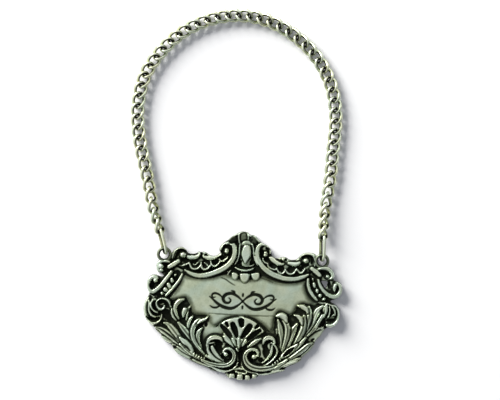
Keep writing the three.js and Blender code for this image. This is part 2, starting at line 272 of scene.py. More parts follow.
    def dome(self, x, y, half_x, half_y, top, drop, turn=0, black_rim=0):
        """A bead or jewel: half an ellipsoid. A dark gap of the black rim's width can run round it."""
        u = np.hypot(*self.turned(x, y, half_x, half_y, turn))
        if black_rim:
            gap = 1 + black_rim / min(half_x, half_y)
            self.height = np.where((u > 1) & (u < gap), np.minimum(self.height, top - drop), self.height)
            self.black = np.maximum(self.black, ease(gap + 0.1, gap - 0.1, u) * ease(0.9, 1, u))
        self.lift(u, top, top - drop, np.sqrt(np.clip(1 - u**2, 0, 1)))
        self.black = np.where(u < 1, self.black * 0.2, self.black)
        self.shine(u, 0.7)

    def cut(self, points, widths, depth, black=1):
        """A groove: a rounded trench below what is there, darkened as much as black says."""
        u, _ = self.stroke(points, widths)
        self.height = self.height - depth * np.clip(1 - u**2, 0, 1)
        self.black = np.maximum(self.black, black * ease(1.15, 0.55, u))

    def pit(self, x, y, half_x, half_y, turn, depth, black=1):
        """A dark oval hollow."""
        u = np.hypot(*self.turned(x, y, half_x, half_y, turn))
        self.height = self.height - depth * ease(1.1, 0.5, u)
        self.black = np.maximum(self.black, black * ease(1.15, 0.7, u))

    def pits(self, *hollows):
        """Several dark hollows, each given as pit() takes it."""
        for hollow in hollows:
            self.pit(*hollow)

    def distance_in(self, points, reach=2):
        """The distance from a closed outline, positive inside it and no more than reach.

        A point is inside when the outline passes above it an odd number of times.
        """
        line = smooth_line(points, closed=True)
        away = np.minimum(self.trace(line, reach)[0], reach)
        crossings = np.zeros(self.x.shape, bool)
        for a, b in zip(line[:-1], line[1:]):
            if a[0] == b[0]:
                continue
            rows = self.window((min(a[0], b[0]), 0), (max(a[0], b[0]), 0), SHEET_STEP)[0]
            xs = self.x[rows, 0]
            spans = (xs > min(a[0], b[0])) & (xs <= max(a[0], b[0]))
            level = a[1] + (xs - a[0]) * (b[1] - a[1]) / (b[0] - a[0])
            crossings[rows] ^= spans[:, None] & (self.y[rows] < level[:, None])
        return np.where(crossings, away, -away)


# Points round the label's outline, the gap beside its right ear and the plaque's edge
OUTLINE = [
    (-0.7, 23), (-1.9, 22.9), (-3, 22.3), (-4.5, 21.3), (-5.4, 20.4), (-6.3, 19.7), (-7.2, 19),
    (-7.8, 18.2), (-8, 17.3), (-7.7, 16.6), (-7.9, 16.1), (-8.8, 15.5), (-9.8, 15.3), (-11, 15.6),
    (-11.9, 16.2), (-12.7, 16.45), (-13.3, 16.25), (-14.1, 16.4), (-14.9, 15.9), (-15.8, 15.7),
    (-16.8, 15.7), (-17.5, 16), (-18.2, 17), (-19.3, 17.6), (-20.4, 17.4), (-21.2, 16.9), (-21.9, 16.2),
    (-22.6, 15.2), (-23.2, 14.5), (-24.2, 13.7), (-25.4, 13.6), (-26, 13.4), (-26.5, 12.7),
    (-26.7, 11.5), (-26.4, 10.2), (-25.7, 9.6), (-24.9, 9.4), (-24.3, 8.9), (-25, 8.4), (-26, 8.7),
    (-27.2, 9), (-28.3, 8.6), (-29, 7.7), (-29.3, 6.4), (-29.2, 5), (-28.8, 4), (-28.5, 3.3),
    (-28.7, 2.6), (-29.3, 1.6), (-29.8, 0.4), (-30, -1.2), (-29.8, -3), (-29.2, -4.3), (-28.4, -5.4),
    (-27.3, -6.3), (-26.4, -6.8), (-26, -7.6), (-25.2, -8.4), (-24.4, -8.9), (-24.3, -9.6),
    (-23.6, -10.4), (-22.5, -11.2), (-21.3, -11.7), (-20.8, -12.4), (-20.3, -13.3), (-19.2, -14.4),
    (-17.6, -15.2), (-16, -15.9), (-14.5, -16.7), (-12.5, -17.4), (-10.4, -18.1), (-9, -18.9),
    (-7.5, -19.3), (-5.5, -19.5), (-4.5, -20), (-3.8, -20.9), (-2.6, -21.2), (-1.6, -21.1),
    (-0.9, -21.5), (0.7, -21.6), (1.3, -21.4), (2.1, -21.6), (2.9, -21.4), (3.4, -20.9), (4.4, -21),
    (5, -20.4), (5.7, -19.9), (7, -19.9), (9, -19.5), (11, -18.9), (12.9, -18.3), (13.4, -17.4),
    (14.8, -16.6), (16.2, -16), (17.8, -15), (18, -14.2), (19, -13.2), (20.5, -11.8), (21.5, -10.3),
    (21.8, -9.5), (22.2, -8.6), (23.4, -7.3), (24, -6.3), (24.8, -5.2), (25.4, -4.7), (26.4, -4.7),
    (27.8, -4), (28.7, -2.6), (29, -1), (28.8, 0.7), (28, 1.9), (26.9, 2.6), (26.1, 3), (26.4, 3.6),
    (27.5, 3.9), (28.9, 5), (29.4, 6.5), (29.3, 7.9), (28.6, 8.9), (27.5, 9.3), (26.8, 9.6),
    (26.7, 10.2), (26.9, 11), (26.5, 12.2), (25.6, 13.2), (24.4, 13.8), (22.6, 13.7), (21.6, 14.4),
    (21.5, 15.8), (21.1, 16.8), (20.4, 17.3), (19.4, 17.5), (17.8, 17.4), (16.6, 16.7), (15.9, 15.9),
    (15.2, 15.3), (14, 15.1), (12.9, 15.3), (12.1, 15.8), (11, 15.9), (10.2, 15.6), (9.3, 15.4),
    (8.4, 15.7), (7.8, 16.3), (7.6, 17.1), (7.3, 18), (6.5, 19), (5.2, 19.6), (4.3, 20.2), (3.5, 20.9),
    (2.9, 21.7), (1.9, 22.1), (1, 22.1), (0.3, 22.8),
]
GAP = [
    (23.1, 9.2), (24.9, 9.1), (24.8, 8.1), (24.4, 7.1), (23.7, 7.9),
]
PLAQUE_EDGE = [
    (-18.8, 9.2), (-15, 8.9), (-10, 9.2), (-7, 10), (-5.2, 10.1), (-3.4, 9.7), (-1.8, 9.2), (0, 9),
    (2.2, 9.2), (4.2, 9.8), (5.8, 9.9), (8, 9.1), (12, 8.4), (16, 8.9), (18.7, 9.4), (18.4, 8),
    (18.7, 6), (19.6, 4.2), (20.8, 2.9), (21.4, 2.2), (19.6, 1.8), (17.4, 1.9), (16.2, 1), (15.4, -0.6),
    (14.2, -1.5), (12.6, -1.2), (11, -0.7), (10, -1.8), (9.6, -3.4), (9.3, -5.4), (8.5, -6.4),
    (7.3, -6.1), (5, -4.4), (2.5, -3.1), (0, -2.8), (-3.5, -3.1), (-5.5, -3.8), (-7.5, -5.3), (-9, -5.8),
    (-10.1, -4.6), (-10.8, -3), (-12.8, -2.6), (-14.4, -2.4), (-15.4, -1.6), (-15.9, -0.4), (-16.4, 1),
    (-17.6, 2.3), (-19.4, 1.9), (-21.2, 1.6), (-22.2, 2.1), (-21.6, 3.6), (-20.4, 5.3), (-19.4, 7.2),
]


def scallop_row(r, scallops):
    """A row of scallops, each a dark oval hollow with a bright rim."""
    for rim, (x, y, half_x, half_y) in scallops:
        r.pit(x, y, half_x, half_y, 0, 0.5)
        r.wire(rim, [0.5, 0.75, 0.8, 0.75, 0.55], 2.55)


def tick_row(r, places, turn):
    """A row of short upright blocks, all turned the same way."""
    for x, y in places:
        r.stud(x, y, 0.3, 0.55, 2.85, 0.6, turn)


def crest(r):
    """The top: three dark petals with bright rims, a jewel in its bowl, the collar and three drops."""
    r.stud(-3.95, 20.5, 1.25, 0.9, 2.2, 0.7, 15, dark=0.66)
    r.wire([(-5.35, 20.44), (-4.68, 21.27), (-3.51, 21.92), (-2.52, 22.26)], 0.55, 2.6)
    r.stud(2.19, 20.63, 1.35, 1.2, 2.2, 0.7, -20, dark=0.52)
    r.wire([(1.1, 21.82), (2.09, 22.16), (3.13, 21.11), (3.77, 20.23)], 0.55, 2.6)
    r.stud(-0.85, 21.43, 1.25, 1.7, 2.45, 0.7, 0, dark=0.42)
    r.wire([(-2.05, 19.68), (-2.31, 21.07), (-2.21, 22.43), (-1.46, 23.03), (-0.26, 23.12),
            (0.42, 22.63), (0.57, 21.19), (0.43, 19.79)], 0.6, 2.95)
    r.cut([(-1.66, 19.8), (-1.83, 21.09), (-1.76, 22.13), (-1.34, 22.59), (-0.38, 22.68), (0.04, 22.29),
           (0.17, 21.18), (0.06, 19.97)], 0.36, 0.1, 0.9)
    r.pits((2, 19.5, 0.5, 0.25, 0, 0.4), (1.66, 20.54, 0.3, 0.5, 0, 0.3, 0.6))
    # The jewel's bowl with its two side rims, and the jewel
    bowl = [(0.03, 18.77), (0.06, 16.77), (0.03, 15.17), (0.02, 13.56)]
    r.lobe(bowl, [3.6, 4.2, 3.8, 2.6], 2.3, 0.4, 0, 0.225)
    r.cut(bowl, [3.4, 4, 3.6, 2.4], 0, 0.3)
    r.wire([(-1.84, 19.39), (-1.98, 18.08), (-2.02, 16.28), (-2.35, 14.66), (-3.13, 13.13)],
           [0.5, 0.6, 0.6, 0.5, 0.4], 2.75)
    r.wire([(1.8, 19.45), (2.18, 18.06), (2.34, 16.27), (2.81, 14.69), (3.64, 13.12)],
           [0.5, 0.6, 0.6, 0.5, 0.4], 2.75)
    r.pits((-1.85, 13.78, 1.1, 0.35, 35, 0.5), (2.06, 13.65, 1, 0.35, -35, 0.5))
    r.lobe([(0.16, 18.07), (0.11, 16.97), (0.06, 15.77), (-0.03, 14.56), (-0.07, 13.8)],
           [2.3, 2.95, 2.85, 1.9, 0.6], JEWEL, 1.4, 0, 0.18)
    # The collar
    r.wire([(-0.91, 12.76), (0.3, 12.66), (1.69, 12.84), (2.57, 13.37)], 0.4, 2.2)
    r.cut([(-1.72, 12.93), (-0.09, 12.32), (1.51, 12.33), (3.08, 13.1)], [0.3, 0.45, 0.45, 0.3], 0.4, 0.9)
    collar = [(-2.99, 12.27), (-1.86, 11.68), (-0.25, 11.39), (1.34, 11.66), (2.56, 12.27)]
    collar_widths = [0.5, 0.75, 0.8, 0.7, 0.45]
    r.lobe(collar, collar_widths, 2.9, 0.6, 0, 0.3)
    # The drops
    r.lobe([(-5.1, 10.14), (-4.82, 10.75), (-4.35, 11.27)], [0.5, 0.7, 0.4], 2.1, 0.5, 0, 0.225)
    r.lobe([(1.66, 10.33), (1.74, 9.94)], [0.8, 0.5], 2.1, 0.5, 0, 0.3)
    r.facet([(-3.92, 10.79), (-2.25, 10.54), (-1.92, 9.42), (-2.42, 8.49), (-3.22, 8.46), (-4, 9.32)],
            2.75)
    r.facet([(1.87, 10.68), (4.01, 11.14), (4.61, 10.2), (4.26, 8.98), (3.41, 8.39), (2.43, 8.78),
             (1.79, 9.74)], 2.75)
    r.facet([(-1.37, 10.54), (1.15, 10.65), (1.5, 9.38), (0.95, 8.16), (0.12, 7.66), (-0.86, 8.08),
             (-1.56, 9.25)], 2.9)
    # The collar again, over the drops' upper ends
    r.lobe(collar, collar_widths, 3, 0.6, 0, 0.3)
    r.cut([(-7.15, 8.95), (-5.73, 8.51), (-4.28, 7.57), (-2.85, 6.83)], [0.2, 0.3, 0.3, 0.15], 0.15, 0.7)
    r.cut([(4.44, 9.55), (5.65, 9.21), (7.28, 8.68), (8.5, 8.13)], [0.2, 0.3, 0.25, 0.15], 0.15, 0.6)


def left_scroll(r):
    """The long C-scroll on the left with its upper volute, and the bands and scallops above it."""
    r.cut([(-20.6, 11.9), (-19, 11.2), (-17, 10.65), (-15, 10.45), (-12, 10.5), (-10, 11.2), (-8, 12.4),
           (-6.2, 13.9), (-5.2, 15.3), (-5, 16.4)], [0.5, 0.7, 0.8, 0.9, 0.8, 0.6], 0.8)
    r.band([(-7.6, 16), (-8.4, 15.75), (-9.5, 15), (-10.8, 14.65), (-12, 14.85), (-12.7, 15.2)],
           [1, 1.3, 1.4, 1.25, 0.8], 2.9)
    r.wire([(-8.2, 16.2), (-9.4, 15.65), (-10.8, 15.45), (-11.7, 15.9)], 0.35, 2.1)
    r.dome(-12.3, 16.1, 0.55, 0.3, 2.4, 0.6, 15)
    r.dome(-14.1, 16.15, 0.45, 0.3, 2.4, 0.6, -10)
    r.pits((-12, 15.6, 0.55, 0.25, 10, 0.5), (-13.35, 15.6, 0.28, 0.9, 0, 0.6),
           (-15.6, 15.45, 0.6, 0.2, 0, 0.5), (-17.2, 15.35, 0.5, 0.22, 10, 0.5))
    r.band([(-13.9, 15.6), (-14.5, 15), (-15.5, 14.65), (-16.7, 14.6), (-17.7, 15)],
           [0.7, 1.2, 1.35, 1.2, 0.8], 2.9)
    scallop_row(r, (([(-5.3, 15.4), (-5.9, 14.6), (-6.7, 14), (-7.4, 14), (-7.9, 14.5)],
                     (-7, 14.95, 0.85, 0.8)),
                    ([(-7.6, 14), (-8.1, 13.1), (-8.8, 12.5), (-9.5, 12.35), (-10.1, 12.8),
                      (-10.45, 13.7)], (-9.1, 13.65, 0.9, 0.8)),
                    ([(-10.3, 13), (-10.8, 12), (-11.6, 11.35), (-12.5, 11.25), (-13.1, 11.9),
                      (-13.3, 13.2)], (-12.3, 13, 0.95, 1)),
                    ([(-13.4, 12.5), (-14, 11.6), (-15, 11.2), (-16, 11.4), (-16.5, 12.1), (-16.8, 13.1)],
                     (-15.1, 13, 1.3, 1.1)),
                    ([(-16.9, 13), (-17.5, 12.6), (-18.2, 12.35), (-19, 12.1)], (-18, 13.6, 0.8, 0.75))))
    r.wire([(-12.4, 13.2), (-11.9, 13), (-11.3, 12.4)], 0.5, 2)
    r.wire([(-15.7, 12.6), (-15, 12.5), (-14.2, 13.3)], 0.5, 2)
    r.pit(-17.3, 11.75, 0.35, 0.35, 0, 0.5)
    r.ribbon([(-5.9, 19.27), (-4.91, 19.51), (-3.88, 19), (-3.45, 17.72), (-3.42, 16.22), (-3.8, 14.8),
              (-4.74, 13.36), (-6.08, 12.1), (-7.74, 11.06), (-9.61, 10.24), (-11.09, 9.74),
              (-12.57, 9.41), (-14.07, 9.35), (-15.59, 9.64), (-17.01, 10.22), (-18.04, 10.87)],
             [0.7, 1.2, 1.45, 1.5, 1.55, 1.6, 1.65, 1.7, 1.7, 1.65, 1.6, 1.55, 1.5, 1.35, 1.1, 0.6], SCROLL)
    r.wire([(-5.71, 19.56), (-6.68, 18.98), (-7.44, 17.84), (-7.49, 16.74)], [0.4, 0.6, 0.6, 0.4], 2.6)
    r.pits((-6.2, 18.5, 0.75, 0.4, 15, 0.7), (-4.45, 17, 0.35, 0.9, 0, 0.7),
           (-5.9, 15.75, 0.7, 0.3, 0, 0.6), (-7.55, 16.85, 0.35, 0.5, 0, 0.5))
    r.dome(-5.8, 17.1, 0.85, 0.95, 3.1, 1.2, black_rim=0.25)
    r.cut([(-6.5, 17.15), (-5.1, 17.2)], 0.35, 0.35, 0.3)
    # The volute beside the ear
    r.wire([(-22, 14.2), (-21.7, 15.3), (-21.2, 16.4), (-20.4, 17.1), (-19.3, 17.3), (-18.2, 17),
            (-17.6, 16.3)], [0.6, 0.7, 0.7, 0.6, 0.5], 2.3)
    r.cut([(-20.9, 14.6), (-20.4, 15.6), (-19.8, 16.5), (-18.8, 16.7), (-17.9, 16.3)],
          [0.7, 0.9, 0.8, 0.7, 0.5], 0.8)
    r.dome(-18.9, 15.3, 1, 0.95, 3.1, 1.3, black_rim=0.3)
    r.pits((-18.3, 15.95, 0.3, 0.22, 30, 0.4, 0.8), (-20.9, 14, 0.6, 0.4, 15, 0.6),
           (-18.9, 13.7, 0.5, 0.5, 0, 0.5))


def right_scroll(r):
    """The long C-scroll on the right with its upper volute, and the bands and scallops above it."""
    r.cut([(4.3, 17.3), (4.6, 15.9), (5.1, 14.6), (6.1, 13.1), (7.3, 12), (8.9, 11.1), (11, 10.4),
           (13.6, 10.1), (16, 10.3), (18.5, 11), (20, 11.8)],
          [0.6, 0.7, 0.7, 0.7, 0.8, 0.8, 0.7, 0.6], 0.8)
    r.band([(7.3, 15.6), (8.2, 14.8), (9.3, 14.1), (10.3, 13.8), (11.2, 13.9)],
           [0.9, 1.3, 1.4, 1.2, 0.8], 2.9)
    r.dome(11.2, 15.25, 0.5, 0.5, 2.7, 0.8)
    r.pits((10.95, 14.4, 0.38, 0.32, 0, 0.7), (12.1, 15.15, 0.35, 0.4, 0, 0.5),
           (9.5, 15.1, 0.55, 0.25, -5, 0.5), (14.4, 14.9, 0.8, 0.18, 5, 0.4, 0.7))
    r.band([(12.8, 14.2), (13.8, 13.95), (15, 13.9), (16.3, 14.4)], [0.7, 1.2, 1.3, 0.8], 2.9)
    r.wire([(8, 15.9), (9, 15.5), (10.2, 15.5)], 0.35, 2.1)
    scallop_row(r, (([(5.15, 15.4), (5.3, 14.6), (5.9, 14), (6.7, 13.8)], (6.2, 15, 0.7, 0.65)),
                    ([(6.7, 13.9), (6.8, 13.1), (7.4, 12.5), (8.3, 12.15), (9.1, 12.1), (9.5, 12.6)],
                     (8.2, 13.3, 1, 0.75)),
                    ([(9.6, 12.2), (10, 11.4), (10.8, 10.95), (11.6, 11.3), (12.05, 12.3)],
                     (10.8, 12.5, 0.9, 1)),
                    ([(12.1, 12.2), (12.7, 11.3), (13.6, 10.95), (14.6, 11.3), (15.1, 12.1), (15.4, 12.7)],
                     (13.6, 12.4, 1, 0.9)),
                    ([(15.45, 12.6), (16.1, 11.7), (17, 11.5), (17.6, 12.2), (17.95, 12.9)],
                     (16.7, 12.75, 0.8, 0.65))))
    r.pits((15.6, 11.5, 0.4, 0.45, 0, 0.5), (12.1, 10.9, 0.4, 0.35, 0, 0.5))
    r.ribbon([(6.01, 19.43), (4.96, 19.62), (3.87, 18.94), (3.4, 17.62), (3.41, 16.11), (3.81, 14.83),
              (4.71, 13.37), (6.14, 11.93), (7.99, 10.81), (9.92, 10.05), (11.74, 9.57), (13.65, 9.45),
              (15.54, 9.64), (17.32, 10.22), (18.99, 11.03)],
             [0.7, 1.15, 1.35, 1.4, 1.45, 1.55, 1.65, 1.7, 1.7, 1.6, 1.5, 1.45, 1.4, 1.25, 0.7], SCROLL)
    r.wire([(5.8, 19.66), (6.73, 18.86), (7.23, 17.98), (7.12, 16.88)], [0.4, 0.6, 0.6, 0.4], 2.6)
    r.pits((4.9, 17, 0.4, 1, 0, 0.6), (6.5, 18.2, 0.8, 0.35, -15, 0.6),
           (6.85, 17.3, 0.25, 0.55, -10, 0.6), (7.5, 16.3, 0.35, 0.45, 0, 0.5),
           (6, 15.05, 0.7, 0.4, 0, 0.6))
    r.dome(5.85, 16.6, 0.75, 1, 3.1, 1.2, black_rim=0.2)
    r.cut([(5.3, 16.6), (6.4, 16.55)], 0.45, 0.35, 0.35)
    # The volute beside the ear
    r.wire([(16.2, 16), (17.2, 16.9), (18.7, 17.1), (19.9, 16.9), (20.6, 16), (20.85, 14.7), (20.8, 13.6)],
           [0.5, 0.6, 0.6, 0.6, 0.5], 2.4)
    r.cut([(17.3, 16.1), (18.2, 16.6), (19.2, 16.5), (19.9, 15.7), (19.9, 14.4)],
          [0.6, 0.7, 0.8, 0.9, 0.7], 0.7)
    r.dome(18.05, 15.15, 1, 0.9, 3.1, 1.3, black_rim=0.3)
    r.pits((17.4, 16, 0.5, 0.4, 20, 0.5), (18, 13.7, 1.3, 0.5, 10, 0.6), (16.9, 14.1, 0.4, 0.4, 0, 0.5))


def ears(r):
    """The curls under the two eyes and the bars that cross to them."""
    r.band([(-24.4, 13.6), (-23.5, 13.9), (-22.8, 14.6)], 0.9, 2.2)
    r.pits((-22.5, 15, 0.3, 0.8, 0, 0.6), (-23.56, 12.23, 0.6, 0.9, -20, 0.6))
    r.ribbon([(-22.89, 13.06), (-24.28, 13.25), (-25.64, 12.87), (-26.41, 11.66), (-25.9, 10.36),
              (-24.83, 10.35)], [0.8, 1, 1.1, 1.15, 1.1, 0.9], 2.85)
    r.dome(-25.15, 11.59, 0.85, 0.8, 3.1, 0.8)
    r.cut([(-24.01, 10.01), (-22.78, 10.57), (-21.56, 11.25)], [0.3, 0.6, 0.3], 0.5)
    r.ribbon([(-22.82, 11.52), (-21.61, 12.32), (-20.1, 13.39)], [1.3, 1.5, 1.3], 3)
    r.band([(22.2, 14.2), (23.4, 13.9)], 0.9, 2.2)
    r.pits((21.6, 13.6, 0.4, 0.6, 0, 0.6), (23.22, 11.45, 0.9, 0.7, -20, 0.6))
    r.lobe([(21.79, 12.76), (23.4, 13.13), (25.04, 12.9), (26.16, 11.7), (26.14, 10.45), (25.16, 10.03)],
           [0.8, 1.3, 1.6, 1.5, 1.2, 0.8], 2.9, 0.8, 0.15, 0.3)
    r.dome(24.71, 10.69, 0.7, 0.65, 3.1, 1, black_rim=0.15)
    r.cut([(20.36, 11.2), (21.52, 10.37), (23.05, 9.69)], [0.3, 0.6, 0.3], 0.5)
    r.ribbon([(19.96, 12.81), (21.2, 11.99), (22.37, 10.99)], [1.3, 1.5, 1.3], 3)


def straps(r):
    """The slanting straps with a row of bars between two rims, and the volutes at their lower ends."""
    r.cut([(-20.3, 9.6), (-21.2, 7.4), (-22.7, 5.2), (-24.4, 3.4), (-25.6, 2.7)],
          [2.4, 2.6, 2.6, 2.2, 1.4], 0.3, 0.9)
    r.pit(-26, 6.92, 0.5, 1, 30, 0.6)
    r.ribbon([(-22.06, 10.15), (-23.31, 8.24), (-24.8, 6.22), (-26.27, 4.58), (-27.62, 3.85),
              (-28.73, 4.55), (-29.09, 6.04), (-28.71, 7.68), (-27.57, 8.56), (-26.43, 8.15)],
             [1, 1.15, 1.2, 1.2, 1.25, 1.35, 1.4, 1.6, 1.8, 1.3], 2.95)
    r.pit(-27.78, 5.89, 0.8, 0.75, 0, 0.9)
    r.dome(-26.77, 7.26, 0.75, 0.7, 3.1, 1)
    r.ribbon([(-18.78, 9.54), (-19.61, 7.75), (-20.88, 5.94), (-22.21, 4.34), (-23.4, 2.91)],
             [0.8, 0.95, 1, 1, 0.8], 2.85)
    for bar in ([(-21.36, 9.5), (-20.57, 9.76), (-20.37, 9.12), (-20.94, 8.54), (-21.38, 8.83)],
                [(-22.46, 7.83), (-21.92, 8.65), (-21.22, 7.93), (-21.11, 7.19), (-21.68, 6.56),
                 (-22.28, 7.03)],
                [(-23.55, 6.33), (-22.85, 7.06), (-21.92, 6.2), (-21.79, 5.5), (-22.38, 4.78),
                 (-23.06, 5.42)],
                [(-24.53, 4.73), (-23.84, 5.57), (-22.84, 4.96), (-22.74, 4.39), (-23.44, 3.83),
                 (-24.13, 4.1)],
                [(-25.23, 3.6), (-24.73, 4.2), (-23.98, 3.68), (-24.25, 2.99), (-24.91, 3.04)]):
        r.facet(bar, BAR)
    r.pits((-27.3, 3, 1.3, 0.35, 0, 0.6), (-28.3, 2.6, 0.5, 0.3, 0, 0.4))
    r.wire([(-29, 2.6), (-28, 2.9), (-27, 2.3)], 0.35, 1.9)
    r.cut([(19.9, 9.8), (20.3, 8.1), (21.4, 6.1), (22.8, 4.6), (24.4, 3.6)],
          [2, 2.4, 2.5, 2.2, 1.2], 0.3, 0.9)
    r.pit(25.37, 8.16, 0.55, 1.3, 10, 0.8)
    r.ribbon([(22.05, 9.65), (22.63, 7.92), (23.82, 6.3), (25.38, 5.09), (27.02, 4.68), (28.36, 5.49),
              (28.97, 6.95), (28.49, 8.35), (27.46, 8.88)],
             [0.8, 1, 1.1, 1.2, 1.3, 1.4, 1.4, 1.3, 0.9], 2.95)
    r.pit(27.86, 7.27, 0.4, 0.8, 0, 0.7)
    r.lobe([(27.24, 8.3), (26.95, 7.48), (26.99, 6.48)], [1.2, 1.5, 0.7], 3.1, 0.9, 0.1, 0.225)
    r.ribbon([(18.97, 9.69), (19.01, 8.14), (19.59, 6.41), (20.66, 4.76), (21.87, 3.51)],
             [0.8, 1, 1.1, 1.1, 0.8], 2.85)
    for bar in ([(19.92, 10.18), (20.48, 10.1), (20.8, 9.54), (20.53, 9), (20.08, 9.39)],
                [(20.2, 8.51), (20.85, 8.97), (21.41, 8.34), (21.53, 7.3), (21.04, 6.9), (20.45, 7.37)],
                [(21.12, 6.35), (21.69, 7.1), (22.3, 6.8), (22.46, 6.04), (21.91, 5.36), (21.32, 5.76)],
                [(22, 5.06), (22.73, 5.65), (23.44, 5.28), (23.46, 4.8), (22.79, 4.12), (22.23, 4.42)],
                [(23.19, 3.69), (23.78, 4.42), (24.66, 4.35), (24.54, 3.72), (23.58, 3.33)]):
        r.facet(bar, BAR)
    r.pit(26.8, 3.3, 0.7, 0.35, 0, 0.6)


def left_wing(r):
    """The shell on the left edge, the curl beside it, and the leaves along the plaque's left foot."""
    r.cut([(-24.6, -2), (-23.2, -2.6), (-22, -3.6), (-21.6, -4.6)], [1.8, 3.2, 3.2, 2], 0.5)
    r.wire([(-28.5, 2.3), (-29.3, 0.6), (-29.5, -1.4), (-29.1, -3.2), (-28.2, -4.8), (-27, -5.8)],
           [0.6, 0.9, 1, 0.9, 0.7], 2.6)
    r.cut([(-28.5, 0.6), (-28.8, -0.8), (-28.5, -2)], 0.3, 0.5)
    r.wire([(-28.5, 1.2), (-28.4, -0.6), (-28.2, -2), (-27.4, -3.2), (-26.4, -3.6)],
           [0.6, 0.7, 0.8, 0.9, 0.7], 2.8)
    r.wire([(-27.3, 1.5), (-27.8, 0.2), (-27.5, -1), (-26.7, -1.9), (-25.7, -2.3)],
           [0.7, 0.8, 0.8, 0.8, 0.5], 2.9)
    r.dome(-27, 1.6, 0.8, 0.5, 2.6, 0.7, 20)
    r.cut([(-26.7, 1), (-27.2, 0), (-26.9, -1), (-26.2, -1.6)], [0.5, 0.8, 0.7, 0.5], 0.8)
    r.cut([(-27.4, -1.9), (-26.6, -2.8), (-25.4, -3.1), (-25, -2.6)], [0.5, 0.6, 0.7, 0.6], 0.7)
    r.cut([(-29, -3.7), (-28, -4.4), (-26.6, -4.5), (-25.3, -4)], [0.5, 0.8, 0.9, 0.8], 0.7)
    r.wire([(-28.2, -5.2), (-27, -5.5), (-25.7, -5.3), (-24.8, -4.5), (-24.4, -3.4), (-24.5, -2.7)],
           [0.6, 0.8, 0.8, 0.7, 0.6, 0.4], 2.7)
    r.pit(-24.9, 1, 0.8, 0.7, -20, 0.6, 0.9)
    r.cut([(-24, 0.9), (-23.2, 0.4), (-22.7, -0.6)], [0.6, 0.9, 0.7], 0.4, 0.9)
    r.wire([(-23.7, -0.1), (-23.9, -0.9), (-24.6, -1.3), (-25.4, -1), (-26, -0.2), (-26.2, 0.7),
            (-25.6, 1.6), (-24.5, 2), (-23.3, 1.8), (-22.5, 1.2), (-22, 0.2), (-21.6, -0.9), (-21.2, -2)],
           [0.6, 0.9, 1, 0.8, 0.65, 0.55, 0.6, 0.75, 0.85, 0.8, 0.6, 0.5, 0.5], CURL)
    r.pits((-21.6, 0.6, 0.35, 0.8, -15, 0.6), (-22.6, 2.6, 0.8, 0.3, 15, 0.5))
    r.lobe([(-21.37, -0.93), (-21.43, -2.29), (-20.77, -3.61), (-19.92, -4.47)],
           [0.5, 1, 1, 0.5], 2.6, 0.7, 0.1, 0.3)
    r.lobe([(-17.89, 2.01), (-19.08, 1.57), (-20.06, 0.63), (-20.54, -0.75), (-20.11, -2.38),
            (-19.19, -3.99)], [0.7, 1.6, 1.6, 1.3, 1.1, 0.6], 2.85, 0.8, 0.2, 0.375)
    r.lobe([(-16.06, -0.1), (-16.76, -1.18), (-16.85, -2.69), (-17.02, -4.2)],
           [0.5, 1, 1, 0.6], 2.5, 0.7, 0.1, 0.3)
    r.lobe([(-17.52, -1.07), (-17.9, -1.98), (-17.96, -3.28)], [1.7, 1.5, 0.7], 2.95, 0.8, 0.1, 0.375)


